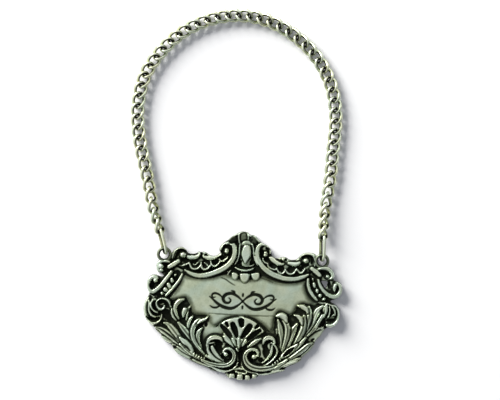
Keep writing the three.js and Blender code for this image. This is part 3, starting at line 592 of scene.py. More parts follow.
def left_leaves(r):
    """The long leaves that sweep down the left foot, one over the other, and a row of ticks."""
    r.lobe([(-25.34, -9.12), (-23.68, -9.83), (-21.61, -10.64), (-19.55, -11.03)],
           [0.5, 1.3, 1.3, 0.5], 2, 0.5, 0.15, 0.3)
    r.lobe([(-19.37, -12.29), (-17.59, -13.23), (-15.44, -14.28), (-13.15, -15.2)],
           [0.6, 1.2, 1.3, 0.9], 2, 0.5, 0.15, 0.3)
    r.lobe([(-14.77, -15.93), (-12.33, -16.66), (-9.29, -17.61), (-6.25, -18.38)],
           [0.5, 1, 1.1, 0.7], 2, 0.5, 0.15, 0.3)
    r.pits((-20.17, -12.53, 0.75, 0.4, -30, 0.5), (-15.01, -15.82, 0.4, 0.22, -20, 0.4))
    r.lobe([(-26.04, -6.81), (-24.4, -7.28), (-22.29, -8.63), (-20.27, -10.19), (-18.5, -11.71)],
           [0.6, 1.8, 2, 1.7, 0.9], 2.45, 0.7, 0.6, 0.375)
    r.lobe([(-18.57, -11.47), (-16.39, -13.18), (-14.07, -14.73), (-11.16, -16.1)],
           [0.8, 1.2, 1.3, 1], 2.5, 0.6, 0.2, 0.3)
    r.lobe([(-15.88, -4.15), (-16.24, -5.51), (-15.99, -7.3), (-15.37, -9.08), (-14.23, -10.98),
            (-12.65, -12.86), (-10.78, -14.49), (-8.47, -15.83)],
           [0.9, 1.5, 1.6, 1.5, 1.4, 1.2, 1, 0.6], 2.65, 0.7, 0.2)
    r.lobe([(-15.09, -2.97), (-15.84, -3.84), (-16.32, -5.22), (-16.38, -6.57)],
           [0.6, 1.3, 1.3, 0.6], 2.75, 0.7, 0.1)
    r.lobe([(-19.51, -4.97), (-18.76, -5.62), (-17.56, -6.98), (-16.29, -8.52), (-15.02, -10.26)],
           [0.7, 1.7, 1.9, 1.6, 0.8], 2.8)
    r.lobe([(-23.64, -5.24), (-22.18, -5.77), (-20.7, -7.3), (-19.34, -8.95), (-17.86, -10.54)],
           [0.7, 1.9, 2.1, 1.9, 1.2], 2.85)
    r.lobe([(-18.71, -9.5), (-17.47, -10.46), (-15.9, -12.1), (-14.41, -13.93)],
           [0.9, 2, 2.2, 1.1], 2.95, 0.8, 0.1)
    r.cut([(-17.61, -11.43), (-16.58, -12.22), (-15.42, -13.32)], [0.35, 0.8, 0.35], 0.6)
    r.lobe([(-12.01, -6.26), (-12.81, -7.08), (-13.35, -8.6), (-13.09, -10.48), (-11.98, -12.38)],
           [0.6, 1.5, 1.6, 1.2, 0.5], 2.8)
    r.lobe([(-11.69, -3.84), (-13.18, -4.09), (-14.33, -5.28), (-14.93, -6.81), (-14.98, -8.46),
            (-14.26, -10.44), (-12.82, -12.42), (-11.09, -14.15)],
           [0.8, 1.7, 1.7, 1.5, 1.4, 1.2, 1, 0.6], 2.95, 0.8, 0.25)
    r.lobe([(-13.62, -5.13), (-12.52, -4.18), (-11.25, -3.58), (-10.48, -2.77)],
           [0.6, 1.2, 1.1, 0.4], 3.15, 0.7, 0, 0.3)
    r.pits((-12.64, -5.51, 1.1, 0.3, 20, 0.5), (-11.03, -5.29, 0.5, 0.8, 0, 0.5))
    tick_row(r, ((-14.3, -14.29), (-13.53, -14.64), (-12.77, -15), (-12, -15.33), (-11.18, -15.59)), -25)
    r.cut([(-13.56, -16.06), (-11.13, -16.85), (-8.7, -17.5)], [0.25, 0.35, 0.2], 0.3, 0.8)


def left_spiral(r):
    """The large spiral at the lower left, its bead, its hooked cap and the leaves that run into it."""
    r.wire([(-10.7, -16.6), (-9, -17.6), (-7, -18.5), (-5, -19), (-3, -18.6), (-1.6, -17.5),
            (-0.95, -16.2)], [0.5, 0.7, 1, 1, 0.7, 0.6, 0.45], 2.6)
    r.cut([(-9.6, -17.2), (-7.6, -17.9), (-5.2, -18.3), (-3.3, -17.8), (-2.1, -16.9), (-1.4, -15.7)],
          [0.3, 0.4, 0.5, 0.5, 0.5, 0.3], 0.6)
    r.pits((-9, -18.4, 0.8, 0.2, -25, 0.4, 0.8), (-7.2, -12.6, 1.5, 1.5, 0, 0.8),
           (-5.4, -14.6, 0.7, 0.9, 0, 0.8), (-6.9, -11, 1.3, 0.9, -10, 0.6))
    r.cut([(-4.2, -13), (-3.2, -13.4), (-2.7, -14.5), (-2.9, -15.7), (-4, -16), (-5, -15.2)],
          [0.6, 1.1, 1.4, 1.2, 0.9, 0.6], 0.7)
    r.leaf([(-9.2, -11.5), (-8.6, -12.6), (-7.7, -14), (-6.6, -15.2), (-5.4, -15.9)],
           [0.9, 1.3, 1.4, 1.1, 0.5], 2.5, dish=0.25)
    r.leaf([(-10.1, -11.6), (-10.2, -12.8), (-9.4, -14.2), (-8, -15.5), (-6.2, -16.3), (-4.6, -16.6)],
           [0.7, 0.9, 1.1, 1, 0.8, 0.4], 2.75, dish=0.15)
    r.cut([(-9.5, -11.7), (-9.5, -12.6), (-8.7, -13.9), (-7.3, -15.2), (-5.6, -16.1)], 0.35, 0.6)
    path = [(-11.72, -15.98), (-9.76, -16.71), (-7.59, -17.19), (-5.55, -17.34), (-3.89, -16.96),
            (-2.71, -15.97), (-2.17, -14.59), (-2.35, -13.42), (-3.12, -12.51), (-4.17, -12.17),
            (-5.09, -12.51), (-5.57, -13.35)]
    r.ribbon(path, [0.8, 1, 1.15, 1.25, 1.35, 1.4, 1.4, 1.3, 1.15, 1, 0.9, 0.7], 3.15)
    r.cut(path[:9], [0.2, 0.34, 0.36, 0.36, 0.2], 0.25, 0.75)
    r.dome(-4.69, -13.87, 0.8, 0.78, 3.5, 1.2)
    r.pits((-9.4, -11.35, 0.6, 0.3, 10, 0.7), (-7.2, -10.2, 1.3, 0.3, -12, 0.7))
    r.wire([(-10.5, -12), (-10.6, -11.2), (-10, -10.9), (-9, -10.7), (-8.3, -10.5)],
           [0.4, 0.7, 0.7, 0.6, 0.5], 2.8)
    r.leaf([(-10.4, -10.6), (-9.8, -9.6), (-8.8, -9.1), (-7.4, -9), (-6.4, -9.4), (-5.9, -10.1)],
           [0.8, 1.2, 1.4, 1.3, 1.1, 0.5], 3.1, dish=0.2)
    r.leaf([(-5.7, -8.6), (-4.9, -9.6), (-4, -10.3), (-2.9, -11.2)], [0.5, 0.9, 0.9, 0.5], 2.3, dish=0.2)
    r.pit(-4.3, -11.3, 0.8, 0.3, -10, 0.6)


def shell(r):
    """The fan in the middle of the foot: a raised plate with dark slots, and petals at its root."""
    fan = r.distance_in([(-7.25, -5.38), (-5.82, -3.71), (-3.51, -2.71), (-0.95, -2.29), (1.63, -2.57),
                         (4.16, -3.81), (5.72, -5.24), (6.86, -6.69), (4.66, -8.08), (2.58, -9.56),
                         (0.53, -11.58), (-0.93, -12.5), (-2.26, -11.7), (-3.96, -9.63), (-6.1, -7.15)])
    r.height = np.where(fan > 0, RECESS + (SHELL - RECESS) * ease(0, 0.5, fan), r.height)
    r.black = np.where(fan > 0, 0.0, r.black)
    r.polish = np.where(fan > 0.15, 0.8, r.polish)
    r.cut([(-7.98, -5.95), (-7.07, -4.66), (-5.2, -3.21), (-2.88, -2.33), (-0.96, -2.08), (1.84, -2.34),
           (4.47, -3.58), (6.69, -5.41), (8.03, -6.64)], 0.3, 0.2, 0.6)
    r.slot([(-6.35, -5.49), (-5.09, -6.72), (-3.85, -8.17), (-3.04, -9.48)], [1.2, 1.7, 1.65, 1.1])
    r.slot([(-2.99, -4.83), (-2.43, -6.18), (-1.97, -7.4), (-1.69, -8.5)], [1.45, 1.85, 1.6, 0.9])
    r.slot([(-0.5, -3.69), (-0.32, -5.01)], [1.85, 1.4])
    r.slot([(2.14, -5.25), (1.42, -6.44), (0.61, -7.67), (0.01, -8.56)], [1.75, 2, 1.7, 1])
    r.slot([(5.13, -6.4), (3.82, -7.36), (2.53, -8.43), (1.5, -9.39)], [1.2, 1.8, 1.7, 1.1])
    r.slot([(-4.93, -4.57), (-4.46, -5.45)], [0.95, 0.7])
    r.slot([(4.53, -4.93), (3.87, -5.6)], [0.95, 0.7])
    r.lobe([(-5.43, -7.77), (-4.63, -9.02), (-3.49, -10.36), (-2.43, -11.71)],
           [0.6, 1.3, 1.2, 0.5], 2.4, 0.6, 0.2, 0.3)
    r.lobe([(5.55, -8.83), (4.13, -9.71), (2.75, -10.8), (1.64, -11.64)],
           [0.7, 1.5, 1.4, 0.5], 2.5, 0.6, 0.25, 0.3)
    r.lobe([(-2.88, -9.16), (-2.46, -10), (-1.8, -11.25)], [1.1, 1.05, 0.5], 3, 0.7, 0.1, 0.3)
    r.lobe([(1.08, -9.41), (0.68, -10.18), (0.13, -11.28)], [1.1, 1.05, 0.5], 3, 0.7, 0.1, 0.3)
    r.lobe([(-1.04, -9.08), (-1.02, -10.15), (-0.92, -11.86)], [1.25, 1.2, 0.6], 3.1, 0.7, 0.1, 0.3)
    r.lobe([(-1.59, -12.21), (-0.81, -12.93), (0.02, -12.14)], [0.6, 0.9, 0.6], 2.4, 0.5, 0, 0.3)
    r.pits((-0.3, -13.9, 0.75, 2.6, 0, 0.8), (-0.6, -16.7, 0.5, 1, 0, 0.6))


def foot(r):
    """The small arc and the four hanging beads at the very bottom."""
    r.wire([(-2, -18.4), (-0.6, -18.2), (0.9, -18.4), (1.9, -18.9)], 0.5, 1.9)
    r.wire([(-1.5, -19), (-0.4, -19.4), (0.8, -19.6), (1.7, -19.4)], 0.6, 2.4)
    r.cut([(-3.6, -19.5), (-2.4, -19.3), (-1.3, -19.6), (-0.2, -20.1), (0.9, -20.1), (1.9, -19.8),
           (2.6, -19.4), (3.6, -19.5)], 0.45, 0.6)
    for x, y, half_x, half_y in ((-2.6, -20.3, 0.9, 0.78), (-0.25, -20.6, 0.98, 0.92),
                                 (2.05, -20.65, 0.82, 0.88), (4.1, -20.2, 0.75, 0.75)):
        r.stud(x, y, half_x, half_y, 2.4, 0.9)
    r.pits((-1.45, -20.6, 0.22, 0.8, -8, 0.8), (1, -20.8, 0.22, 0.8, 0, 0.8),
           (3.1, -20.4, 0.22, 0.8, 10, 0.8))


def right_spiral(r):
    """The large spiral at the lower right, its bead, a row of ticks and the leaves that run into it."""
    r.wire([(0.25, -17.2), (1.1, -18.3), (2.3, -18.9), (3.6, -19.2), (5.2, -19.3)],
           [0.4, 0.6, 0.6, 0.5, 0.5], 2.5)
    r.wire([(5, -19.6), (7.4, -19.4), (9.4, -18.8), (11.2, -18.3), (13, -17.95)],
           [0.5, 0.7, 0.8, 0.8, 0.5], 2.2)
    r.wire([(9.6, -18.2), (11.2, -17.4), (12.6, -16.7), (14.4, -16), (16.4, -15.2)],
           [0.6, 0.9, 1, 0.9, 0.6], 2.3)
    r.pits((12.5, -17.45, 0.7, 0.28, 5, 0.6), (8.3, -18.7, 0.7, 0.3, 10, 0.5),
           (7.4, -13, 1.1, 1.9, 10, 0.8), (5.8, -15.2, 0.8, 0.7, 20, 0.7), (6.9, -11.1, 0.9, 0.9, 0, 0.6))
    r.cut([(4.1, -12.8), (2.9, -13.2), (2.1, -14.4), (2.4, -15.6), (3.4, -16)],
          [0.8, 1.1, 1.1, 0.9, 0.6], 0.6)
    r.cut([(2.4, -16), (3, -16.8), (4.2, -17)], 0.4, 0.4, 0.8)
    r.leaf([(9.2, -10.6), (9, -12), (8.6, -13.6), (7.6, -15.2), (6.2, -16.2)],
           [0.6, 0.9, 1.1, 1, 0.5], 2.5, dish=0.2)
    r.wire([(3.6, -17.35), (5.4, -17.3), (7, -16.8), (8.5, -15.8), (9.7, -14.6), (10.5, -13.2),
            (10.6, -12), (10, -10.9), (9.2, -10.1), (8.6, -9.8)],
           [0.35, 0.5, 0.6, 0.65, 0.7, 0.75, 0.75, 0.7, 0.6, 0.5], 2.9)
    r.cut([(4.6, -16.7), (6.4, -16.4), (8, -15.2), (9.2, -13.6), (9.8, -12.1), (9.5, -10.9)],
          [0.3, 0.45, 0.5, 0.55, 0.6, 0.4], 0.7)
    r.cut([(4, -17.9), (6, -17.8), (8, -17.1), (9.6, -15.8), (10.6, -14.4), (11, -13.4)],
          [0.3, 0.4, 0.45, 0.55, 0.6, 0.5], 0.7)
    path = [(13.74, -14.65), (12.08, -15.9), (10.41, -16.77), (8.19, -17.51), (5.95, -17.82),
            (3.9, -17.57), (2.3, -16.76), (1.29, -15.41), (1.07, -14.09), (1.62, -12.93), (2.7, -12.17),
            (3.98, -12.14), (4.88, -12.94), (4.88, -13.96)]
    r.ribbon(path, [0.7, 1, 1.2, 1.4, 1.6, 1.75, 1.8, 1.8, 1.7, 1.45, 1.2, 1.05, 1, 0.8], 3.15)
    r.cut(path[1:10], [0.2, 0.36, 0.4, 0.4, 0.2], 0.25, 0.75)
    r.dome(3.75, -14.27, 0.85, 0.85, 3.55, 1.2)
    tick_row(r, ((9.54, -16.49), (10.21, -15.9), (10.88, -15.3), (11.55, -14.7)), 30)
    r.leaf([(6.3, -10.3), (6.6, -9.2), (7.4, -8.5), (8.4, -8.4), (9.3, -8.9), (9.9, -9.9)],
           [0.5, 1.1, 1.4, 1.3, 1.1, 0.6], 3.1, dish=0.2)
    r.cut([(7.4, -10.4), (8.2, -9.5), (9.1, -9.3)], [0.8, 0.6, 0.4], 0.7)
    r.pit(10.7, -9, 0.6, 2, 5, 0.7)


def right_leaves(r):
    """The leaves along the plaque's right foot and down the right side, one over the other."""
    r.lobe([(12.84, -17.36), (11.13, -18.01), (8.94, -18.74), (6.75, -19.31)],
           [0.5, 1.2, 1.2, 0.7], 2, 0.5, 0.15, 0.3)
    r.lobe([(17.66, -14.08), (16.05, -14.82), (13.89, -15.99), (11.72, -17.19)],
           [0.5, 1.4, 1.5, 0.9], 2.2, 0.5, 0.2, 0.3)
    r.lobe([(21.19, -9.4), (19.89, -10.09), (18.13, -11.69), (15.99, -13.43), (13.83, -14.79)],
           [0.6, 1.6, 1.7, 1.4, 0.7], 2.4, 0.6, 0.4)
    r.pits((21.16, -8.55, 0.7, 0.3, 30, 0.5), (17.27, -13.69, 0.6, 0.25, 25, 0.4))
    r.lobe([(24.3, -4.46), (22.27, -5.18), (20.42, -6.27), (18.84, -7.7)],
           [0.5, 1.1, 1.2, 0.6], 2.4, 0.6, 0.2)
    r.lobe([(20.98, -4.45), (19.5, -6.95), (17.57, -9.75), (15.3, -12.13), (13.01, -14.13)],
           [0.7, 1.1, 1.2, 1.1, 0.8], 2.6, 0.6, 0.2)
    r.lobe([(24.2, 1.39), (24.13, -0.67), (22.87, -2.94), (21.39, -5.16), (19.52, -7.36)],
           [0.9, 1.6, 1.6, 1.3, 0.7], 2.7, 0.8, 0.4)
    r.lobe([(23.71, 1.84), (22.34, 0.61), (21.47, -1.16), (20.92, -3.09), (19.81, -5.29), (18.26, -7.57)],
           [0.8, 1.8, 1.9, 1.6, 1.2, 0.6], 2.85, 0.8, 0.7)
    r.lobe([(19.63, 1.1), (19.86, -0.6), (19.63, -2.61), (18.84, -4.76), (17.62, -7.28), (16.08, -9.72)],
           [1.3, 2, 2.1, 1.9, 1.5, 0.8], 2.85)
    r.lobe([(16.35, 1.52), (17.62, 1.33), (18.8, 0.55), (19.28, -0.37)], [0.7, 1.7, 1.7, 0.9], 3, 0.7, 0)
    r.lobe([(18.25, -1.4), (18.33, -3.2), (18.04, -5.43), (17.07, -7.69), (15.68, -10.06)],
           [1.1, 2, 2.2, 1.8, 0.9], 2.8)
    r.lobe([(15.33, -1.31), (16.49, -1.64), (17.42, -2.7), (17.73, -3.95)],
           [0.7, 1.6, 1.6, 0.9], 2.95, 0.7, 0)
    r.lobe([(16.27, -3.92), (15.47, -5.22), (14.64, -7.1), (13.96, -9.09), (13.36, -11.26),
            (12.49, -13.04)], [0.9, 2.2, 2.5, 2.2, 1.5, 0.7], 2.85)
    r.lobe([(10.12, -5.77), (10.61, -7.59), (11.15, -9.94), (11.42, -11.67)],
           [0.5, 1, 1, 0.5], 2.3, 0.6, 0.1)
    r.lobe([(10.53, -3), (11.13, -5.03), (11.61, -7.39), (11.96, -9.59), (11.81, -11.81)],
           [0.8, 1.7, 1.8, 1.5, 0.8], 2.65, 0.7, 0.2)
    r.lobe([(11.96, -2.21), (12.98, -3.85), (13.49, -5.56), (13.39, -7.62), (12.86, -9.86),
            (12.07, -12.11)], [1.6, 1.9, 2, 1.8, 1.4, 0.8], 2.9)
    r.lobe([(10.1, -1.79), (11.23, -1.55), (12.46, -2.13), (13.14, -3.3)],
           [0.9, 2.1, 2.1, 1], 3.1, 0.7, 0)
    r.lobe([(12.15, -13.91), (13.43, -12.84), (14.96, -11.51), (16.63, -9.92)],
           [1.5, 2.1, 1.8, 0.7], 2.8, 0.8, 0)
    r.slot([(12.83, -13.57), (13.99, -12.5), (15.42, -11.27)], [0.8, 1.45, 0.7])


def right_wing(r):
    """The shell on the right edge and the curls that rise to it."""
    r.pits((23.7, -3.2, 1.1, 1.6, -20, 0.8), (26.3, -2.4, 1.5, 0.45, 8, 0.8))
    r.wire([(24.3, 1.7), (23.1, 1.4), (22.3, 0.4), (21.7, -1), (21.3, -2.6), (21.1, -3.8)],
           [0.5, 0.7, 0.75, 0.7, 0.6, 0.4], 2.7)
    r.wire([(24, 1.1), (23.3, 0.3), (22.6, -1), (22, -2.2)], [0.4, 0.5, 0.5, 0.4], 2.3)
    r.pit(23.7, -0.2, 0.35, 1.1, 28, 0.7)
    r.leaf([(24, -1), (23.3, -2.1), (22.5, -3.6), (21.9, -4.8)], [0.8, 1, 0.9, 0.5], 2.7, dish=0.25)
    r.pit(23, -4.4, 0.5, 0.3, -20, 0.5)
    r.leaf([(24.8, 2), (24.8, 0.8), (24.9, -0.4)], [1.1, 1, 0.5], 2.9, dish=0.15)
    r.wire([(25.6, 1.8), (25.9, 0.6), (25.7, -0.8), (25.3, -1.7)], [0.5, 0.6, 0.6, 0.5], 2.9)
    r.pits((25.35, 2, 0.2, 0.5, 35, 0.5), (25.25, -0.6, 0.25, 0.7, 0, 0.6), (26.3, -0.4, 0.25, 1, 0, 0.5))
    r.wire([(26.6, 1.6), (27.2, 0.8), (27.5, -0.3), (27.4, -0.9)], [0.8, 0.8, 0.7, 0.4], 2.8)
    r.wire([(27, -0.7), (26.6, -1.2)], 0.4, 2.5)
    r.cut([(27.9, 0.4), (28, -0.8), (27.6, -1.9)], [0.3, 0.4, 0.4], 0.6)
    r.wire([(24.9, 2.6), (26.3, 2.1), (27.4, 1.9), (28.2, 1), (28.5, -0.5), (28.3, -2.1), (27.5, -3.4),
            (26.3, -4), (25.2, -3.9)], [0.5, 0.7, 0.7, 0.7, 0.75, 0.9, 1.1, 1.4, 1.2], 2.9)
    r.wire([(22.8, 2.6), (24, 2.6), (25.2, 2.9)], 0.4, 2.1)
    r.pits((22.6, 2.2, 0.8, 0.25, 10, 0.5), (24.7, -4.6, 0.4, 0.4, 0, 0.6))
    r.dome(23.8, -5, 0.45, 0.35, 2.3, 0.6, 15)


# The engraved flourish: the middle it is mirrored about, and its grooves on one side with widths and depth
FLOURISH_X = -0.3
BOLD = [0.25, 0.8, 1.05, 0.8, 0.25]
FINE = [0.16, 0.45, 0.6, 0.45, 0.16]
FLOURISH = (
    ([(0, 2.1), (1.4, 3.4), (3.2, 4.3), (5, 4), (5.9, 2.8), (5.3, 1.6), (4.1, 1.5), (3.6, 2.3), (4.2, 3)],
     BOLD, 0.22),
    ([(0, 2.1), (1.4, 0.8), (3.2, -0.1), (5.4, 0.1), (7.4, 1.1), (9.2, 2.6), (10, 3.2)], BOLD, 0.22),
    ([(5.9, 2.8), (7.2, 3.9), (8.6, 4.2), (9.3, 3.6), (8.9, 2.9), (8.2, 3.1)], FINE, 0.2),
    ([(6.6, 0.7), (7.6, 0), (8.8, -0.1), (9.8, 0.5)], FINE, 0.2),
    ([(2.4, 4.1), (2.7, 4.9), (3.6, 5.2)], FINE, 0.2),
)


def flourish(r):
    """A plain engraved flourish on the plaque: mirrored scrolls and small leaves over a long line."""
    for side in (-1, 1):
        for points, widths, depth in FLOURISH:
            r.cut([(FLOURISH_X + side * x, y) for x, y in points], widths, depth)
    for y, half_x, half_y in ((2.1, 0.42, 0.42), (4, 0.25, 0.6), (0.3, 0.25, 0.6)):
        r.pit(FLOURISH_X, y, half_x, half_y, 0, 0.2)
    r.cut([(-10.2, -1.9), (-5, -2.05), (0, -2.05), (5, -2.05), (9.2, -1.9)],
          [0.1, 0.35, 0.35, 0.35, 0.1], 0.12, 0.5)


def ornament():
    """The ornament on its recessed ground, drawn from the bottom up: each part lies over the last."""
    r = Relief()
    for part in (left_leaves, left_wing, right_leaves, right_wing, shell, left_spiral, right_spiral, foot,
                 straps, ears, left_scroll, right_scroll, crest):
        part(r)
    return r


# The plaque's face: it bulges like an oval of these half sizes, fades in over its own edge and over the
# lowest part of the ornament, and is shaded along its edge
PLAQUE_HALF_X, PLAQUE_HALF_Y, PLAQUE_Y = 24, 11, 3
PLAQUE_FADE = (-0.3, 0.7)
GROUND_FADE = (RECESS + 0.35, RECESS + 0.02)
PLAQUE_SHADE, SHADE_FADE = 0.42, (1.8, 0.2)

# Radii in millimetres: what softens the surface, the black and the polish, and what the surface is
# compared with to find its fine hollows, its coarse hollows and its raised places
SOFT_HEIGHT, SOFT_BLACK, SOFT_POLISH = 0.1, 0.11, 0.12
FINE_HOLLOW, COARSE_HOLLOW, RAISED = 0.45, 1.3, 0.5

# The depths at which a hollow starts to darken and is darkest, and how dark each of the two can make it
FINE_DEPTHS, COARSE_DEPTHS = (0.02, 0.3), (0.05, 0.8)
FINE_BLACK, COARSE_BLACK = 0.7, 0.65
RAISED_MOST, RAISED_WORN = 0.3, 2.5

# The plate's outer edge: the width over which it is rounded, and how far it rises there. Its wall goes
# down in rings, each at a share of the edge's height and so far outside the outline
EDGE_ROUND = 1
EDGE_RISE = 2.3
WALL_RINGS = ((0.45, 0.03), (0.12, 0), (0, -0.08))

# The plate's least thickness, and how dark and worn its rim, wall and back are
THINNEST_PLATE = 0.6
RIM_BLACK, WALL_BLACK, BACK_BLACK = 0.35, 0.55, 0.1
WALL_WORN = 0.5


def finished_relief():
    """The relief with its plaque laid in, its engraving cut and its outer edge rounded down.

    Gives the sheet, each point's distance inside the outline, how dark it is and how worn. A point is dark
    where the surface around it is higher on average, at a fine and a coarse scale, and where a stroke says
    so. It is worn where it stands above the surface around it, and where a stroke says so.
    """
    r = ornament()
    inside = np.minimum(r.distance_in(OUTLINE), -r.distance_in(GAP))
    from_edge = r.distance_in(PLAQUE_EDGE)
    on_plaque = ease(*PLAQUE_FADE, from_edge) * ease(*GROUND_FADE, r.height)
    bulge = 1 - (r.x / PLAQUE_HALF_X) ** 2 - ((r.y - PLAQUE_Y) / PLAQUE_HALF_Y) ** 2
    crown = PLAQUE + PLAQUE_CROWN * np.clip(bulge, 0, 1)
    r.height = r.height * (1 - on_plaque) + crown * on_plaque
    r.black = np.maximum(r.black, PLAQUE_SHADE * ease(*SHADE_FADE, from_edge) * on_plaque)
    flourish(r)
    r.height = soften(r.height, SOFT_HEIGHT)
    round_off = np.clip(inside / EDGE_ROUND, 0, 1)
    r.height = np.minimum(r.height, EDGE + EDGE_RISE * np.sqrt(1 - (1 - round_off) ** 2))
    fine = ease(*FINE_DEPTHS, soften(r.height, FINE_HOLLOW) - r.height)
    coarse = ease(*COARSE_DEPTHS, soften(r.height, COARSE_HOLLOW) - r.height)
    hollow = FINE_BLACK * fine + COARSE_BLACK * coarse
    dark = np.clip(np.maximum(soften(r.black, SOFT_BLACK), hollow), 0, 1)
    raised = np.clip(r.height - soften(r.height, RAISED), 0, RAISED_MOST)
    worn = np.clip(soften(r.polish, SOFT_POLISH) + RAISED_WORN * raised, 0, 1)
    return r, inside, dark, worn


def mesh_piece(name, points, faces, values, finish):
    """A mesh object from points in millimetres, four-cornered faces and named values at the points."""
    mesh = bpy.data.meshes.new(name)
    mesh.from_pydata(points * MM, [], faces.tolist())
    for key, value in values.items():
        layer = mesh.attributes.new(key, "FLOAT", "POINT")
        layer.data.foreach_set("value", np.ascontiguousarray(value, np.float32))
    mesh.shade_smooth()
    mesh.materials.append(finish)
    piece = bpy.data.objects.new(name, mesh)
    bpy.context.scene.collection.objects.link(piece)
    return piece


def wire_loop(middles, radius, sides):
    """A round wire carried along a closed line of points.

    Each section's circle lies across the line. Its first direction is the part of the line's own place
    that is square to the line, and the other is the cross product of the line's direction and that. Gives
    the points, the faces, the outward directions, and how far each point faces the loop's inside.
    """
    along = np.roll(middles, -1, 0) - np.roll(middles, 1, 0)
    along /= np.linalg.norm(along, axis=1, keepdims=True)
    out = middles - (middles * along).sum(1, keepdims=True) * along
    out /= np.linalg.norm(out, axis=1, keepdims=True)
    up = np.cross(along, out)
    turn = np.arange(sides) / sides * 2 * math.pi
    ring = np.cos(turn)[None, :, None] * out[:, None] + np.sin(turn)[None, :, None] * up[:, None]
    points = (middles[:, None] + radius * ring).reshape(-1, 3)
    i, j = np.meshgrid(np.arange(len(middles)), np.arange(sides), indexing="ij")
    near, far = i * sides, (i + 1) % len(middles) * sides
    faces = np.stack([near + j, near + (j + 1) % sides, far + (j + 1) % sides, far + j], -1).reshape(-1, 4)
    return points, faces, ring.reshape(-1, 3), np.broadcast_to(-np.cos(turn), i.shape).reshape(-1)


# The two eyes are round loops of wire, as in the CAD model: the radii of a loop and of its wire, and the
# places of the loops' middles, all in millimetres
EYE_RADIUS, EYE_WIRE = 1.775, 0.475
EYE_PLACES = ((-24.438, 15.226, 2.074), (22.9, 15.225, 2.074))
EYE_STEPS, EYE_SIDES = 64, 20
# How dark an eye is all over, and the painted shade added under it and on its inside
EYE_BLACK, EYE_UNDER_SHADE, EYE_INNER_SHADE = 0.42, 0.5, 0.6


def eye_loop():
    """One eye about its own middle: points, faces, and dark and worn values.

    It is darker underneath and on its inside, where painted shade stands for the shade that falls there,
    and worn on top.
    """
    turn = np.arange(EYE_STEPS) / EYE_STEPS * 2 * math.pi
    circle = EYE_RADIUS * np.stack([np.cos(turn), np.sin(turn), np.zeros(EYE_STEPS)], 1)
    points, faces, _, inward = wire_loop(circle, EYE_WIRE, EYE_SIDES)
    level = points[:, 2]
    # Darker all over, with painted shade underneath and on the loop's inside
    dark = EYE_BLACK + EYE_UNDER_SHADE * ease(0.1, -0.4, level) + EYE_INNER_SHADE * ease(0, 0.8, inward)
    return points, faces, np.clip(dark, 0, 1), ease(0, 0.45, level)


def top_cells(inside):
    """The cells of the label's top: all four corners lie inside, or less than half a step outside.

    Where two of them touch at a corner only, a third is added beside them. This is done twice, because an
    added cell can touch another in the same way.
    """
    near = inside > -0.5 * SHEET_STEP
    cell = near[:-1, :-1] & near[1:, :-1] & near[1:, 1:] & near[:-1, 1:]
    for _ in range(2):
        lone = cell[:-1, :-1] & cell[1:, 1:] & ~cell[1:, :-1] & ~cell[:-1, 1:]
        cell[1:, :-1] |= lone
        lone = cell[1:, :-1] & cell[:-1, 1:] & ~cell[:-1, :-1] & ~cell[1:, 1:]
        cell[:-1, :-1] |= lone
    return cell


def close_back(piece):
    """Fills the open edges under the label with flat faces that point down."""
    shape = bmesh.new()
    shape.from_mesh(piece.data)
    open_edges = [e for e in shape.edges if e.is_boundary]
    filled = bmesh.ops.triangle_fill(shape, use_beauty=True, edges=open_edges)["geom"]
    back = [f for f in filled if isinstance(f, bmesh.types.BMFace)]
    shape.normal_update()
    bmesh.ops.reverse_faces(shape, faces=[f for f in back if f.normal.z > 0])
    for face in back:
        face.smooth = False
    shape.to_mesh(piece.data)
    shape.free()


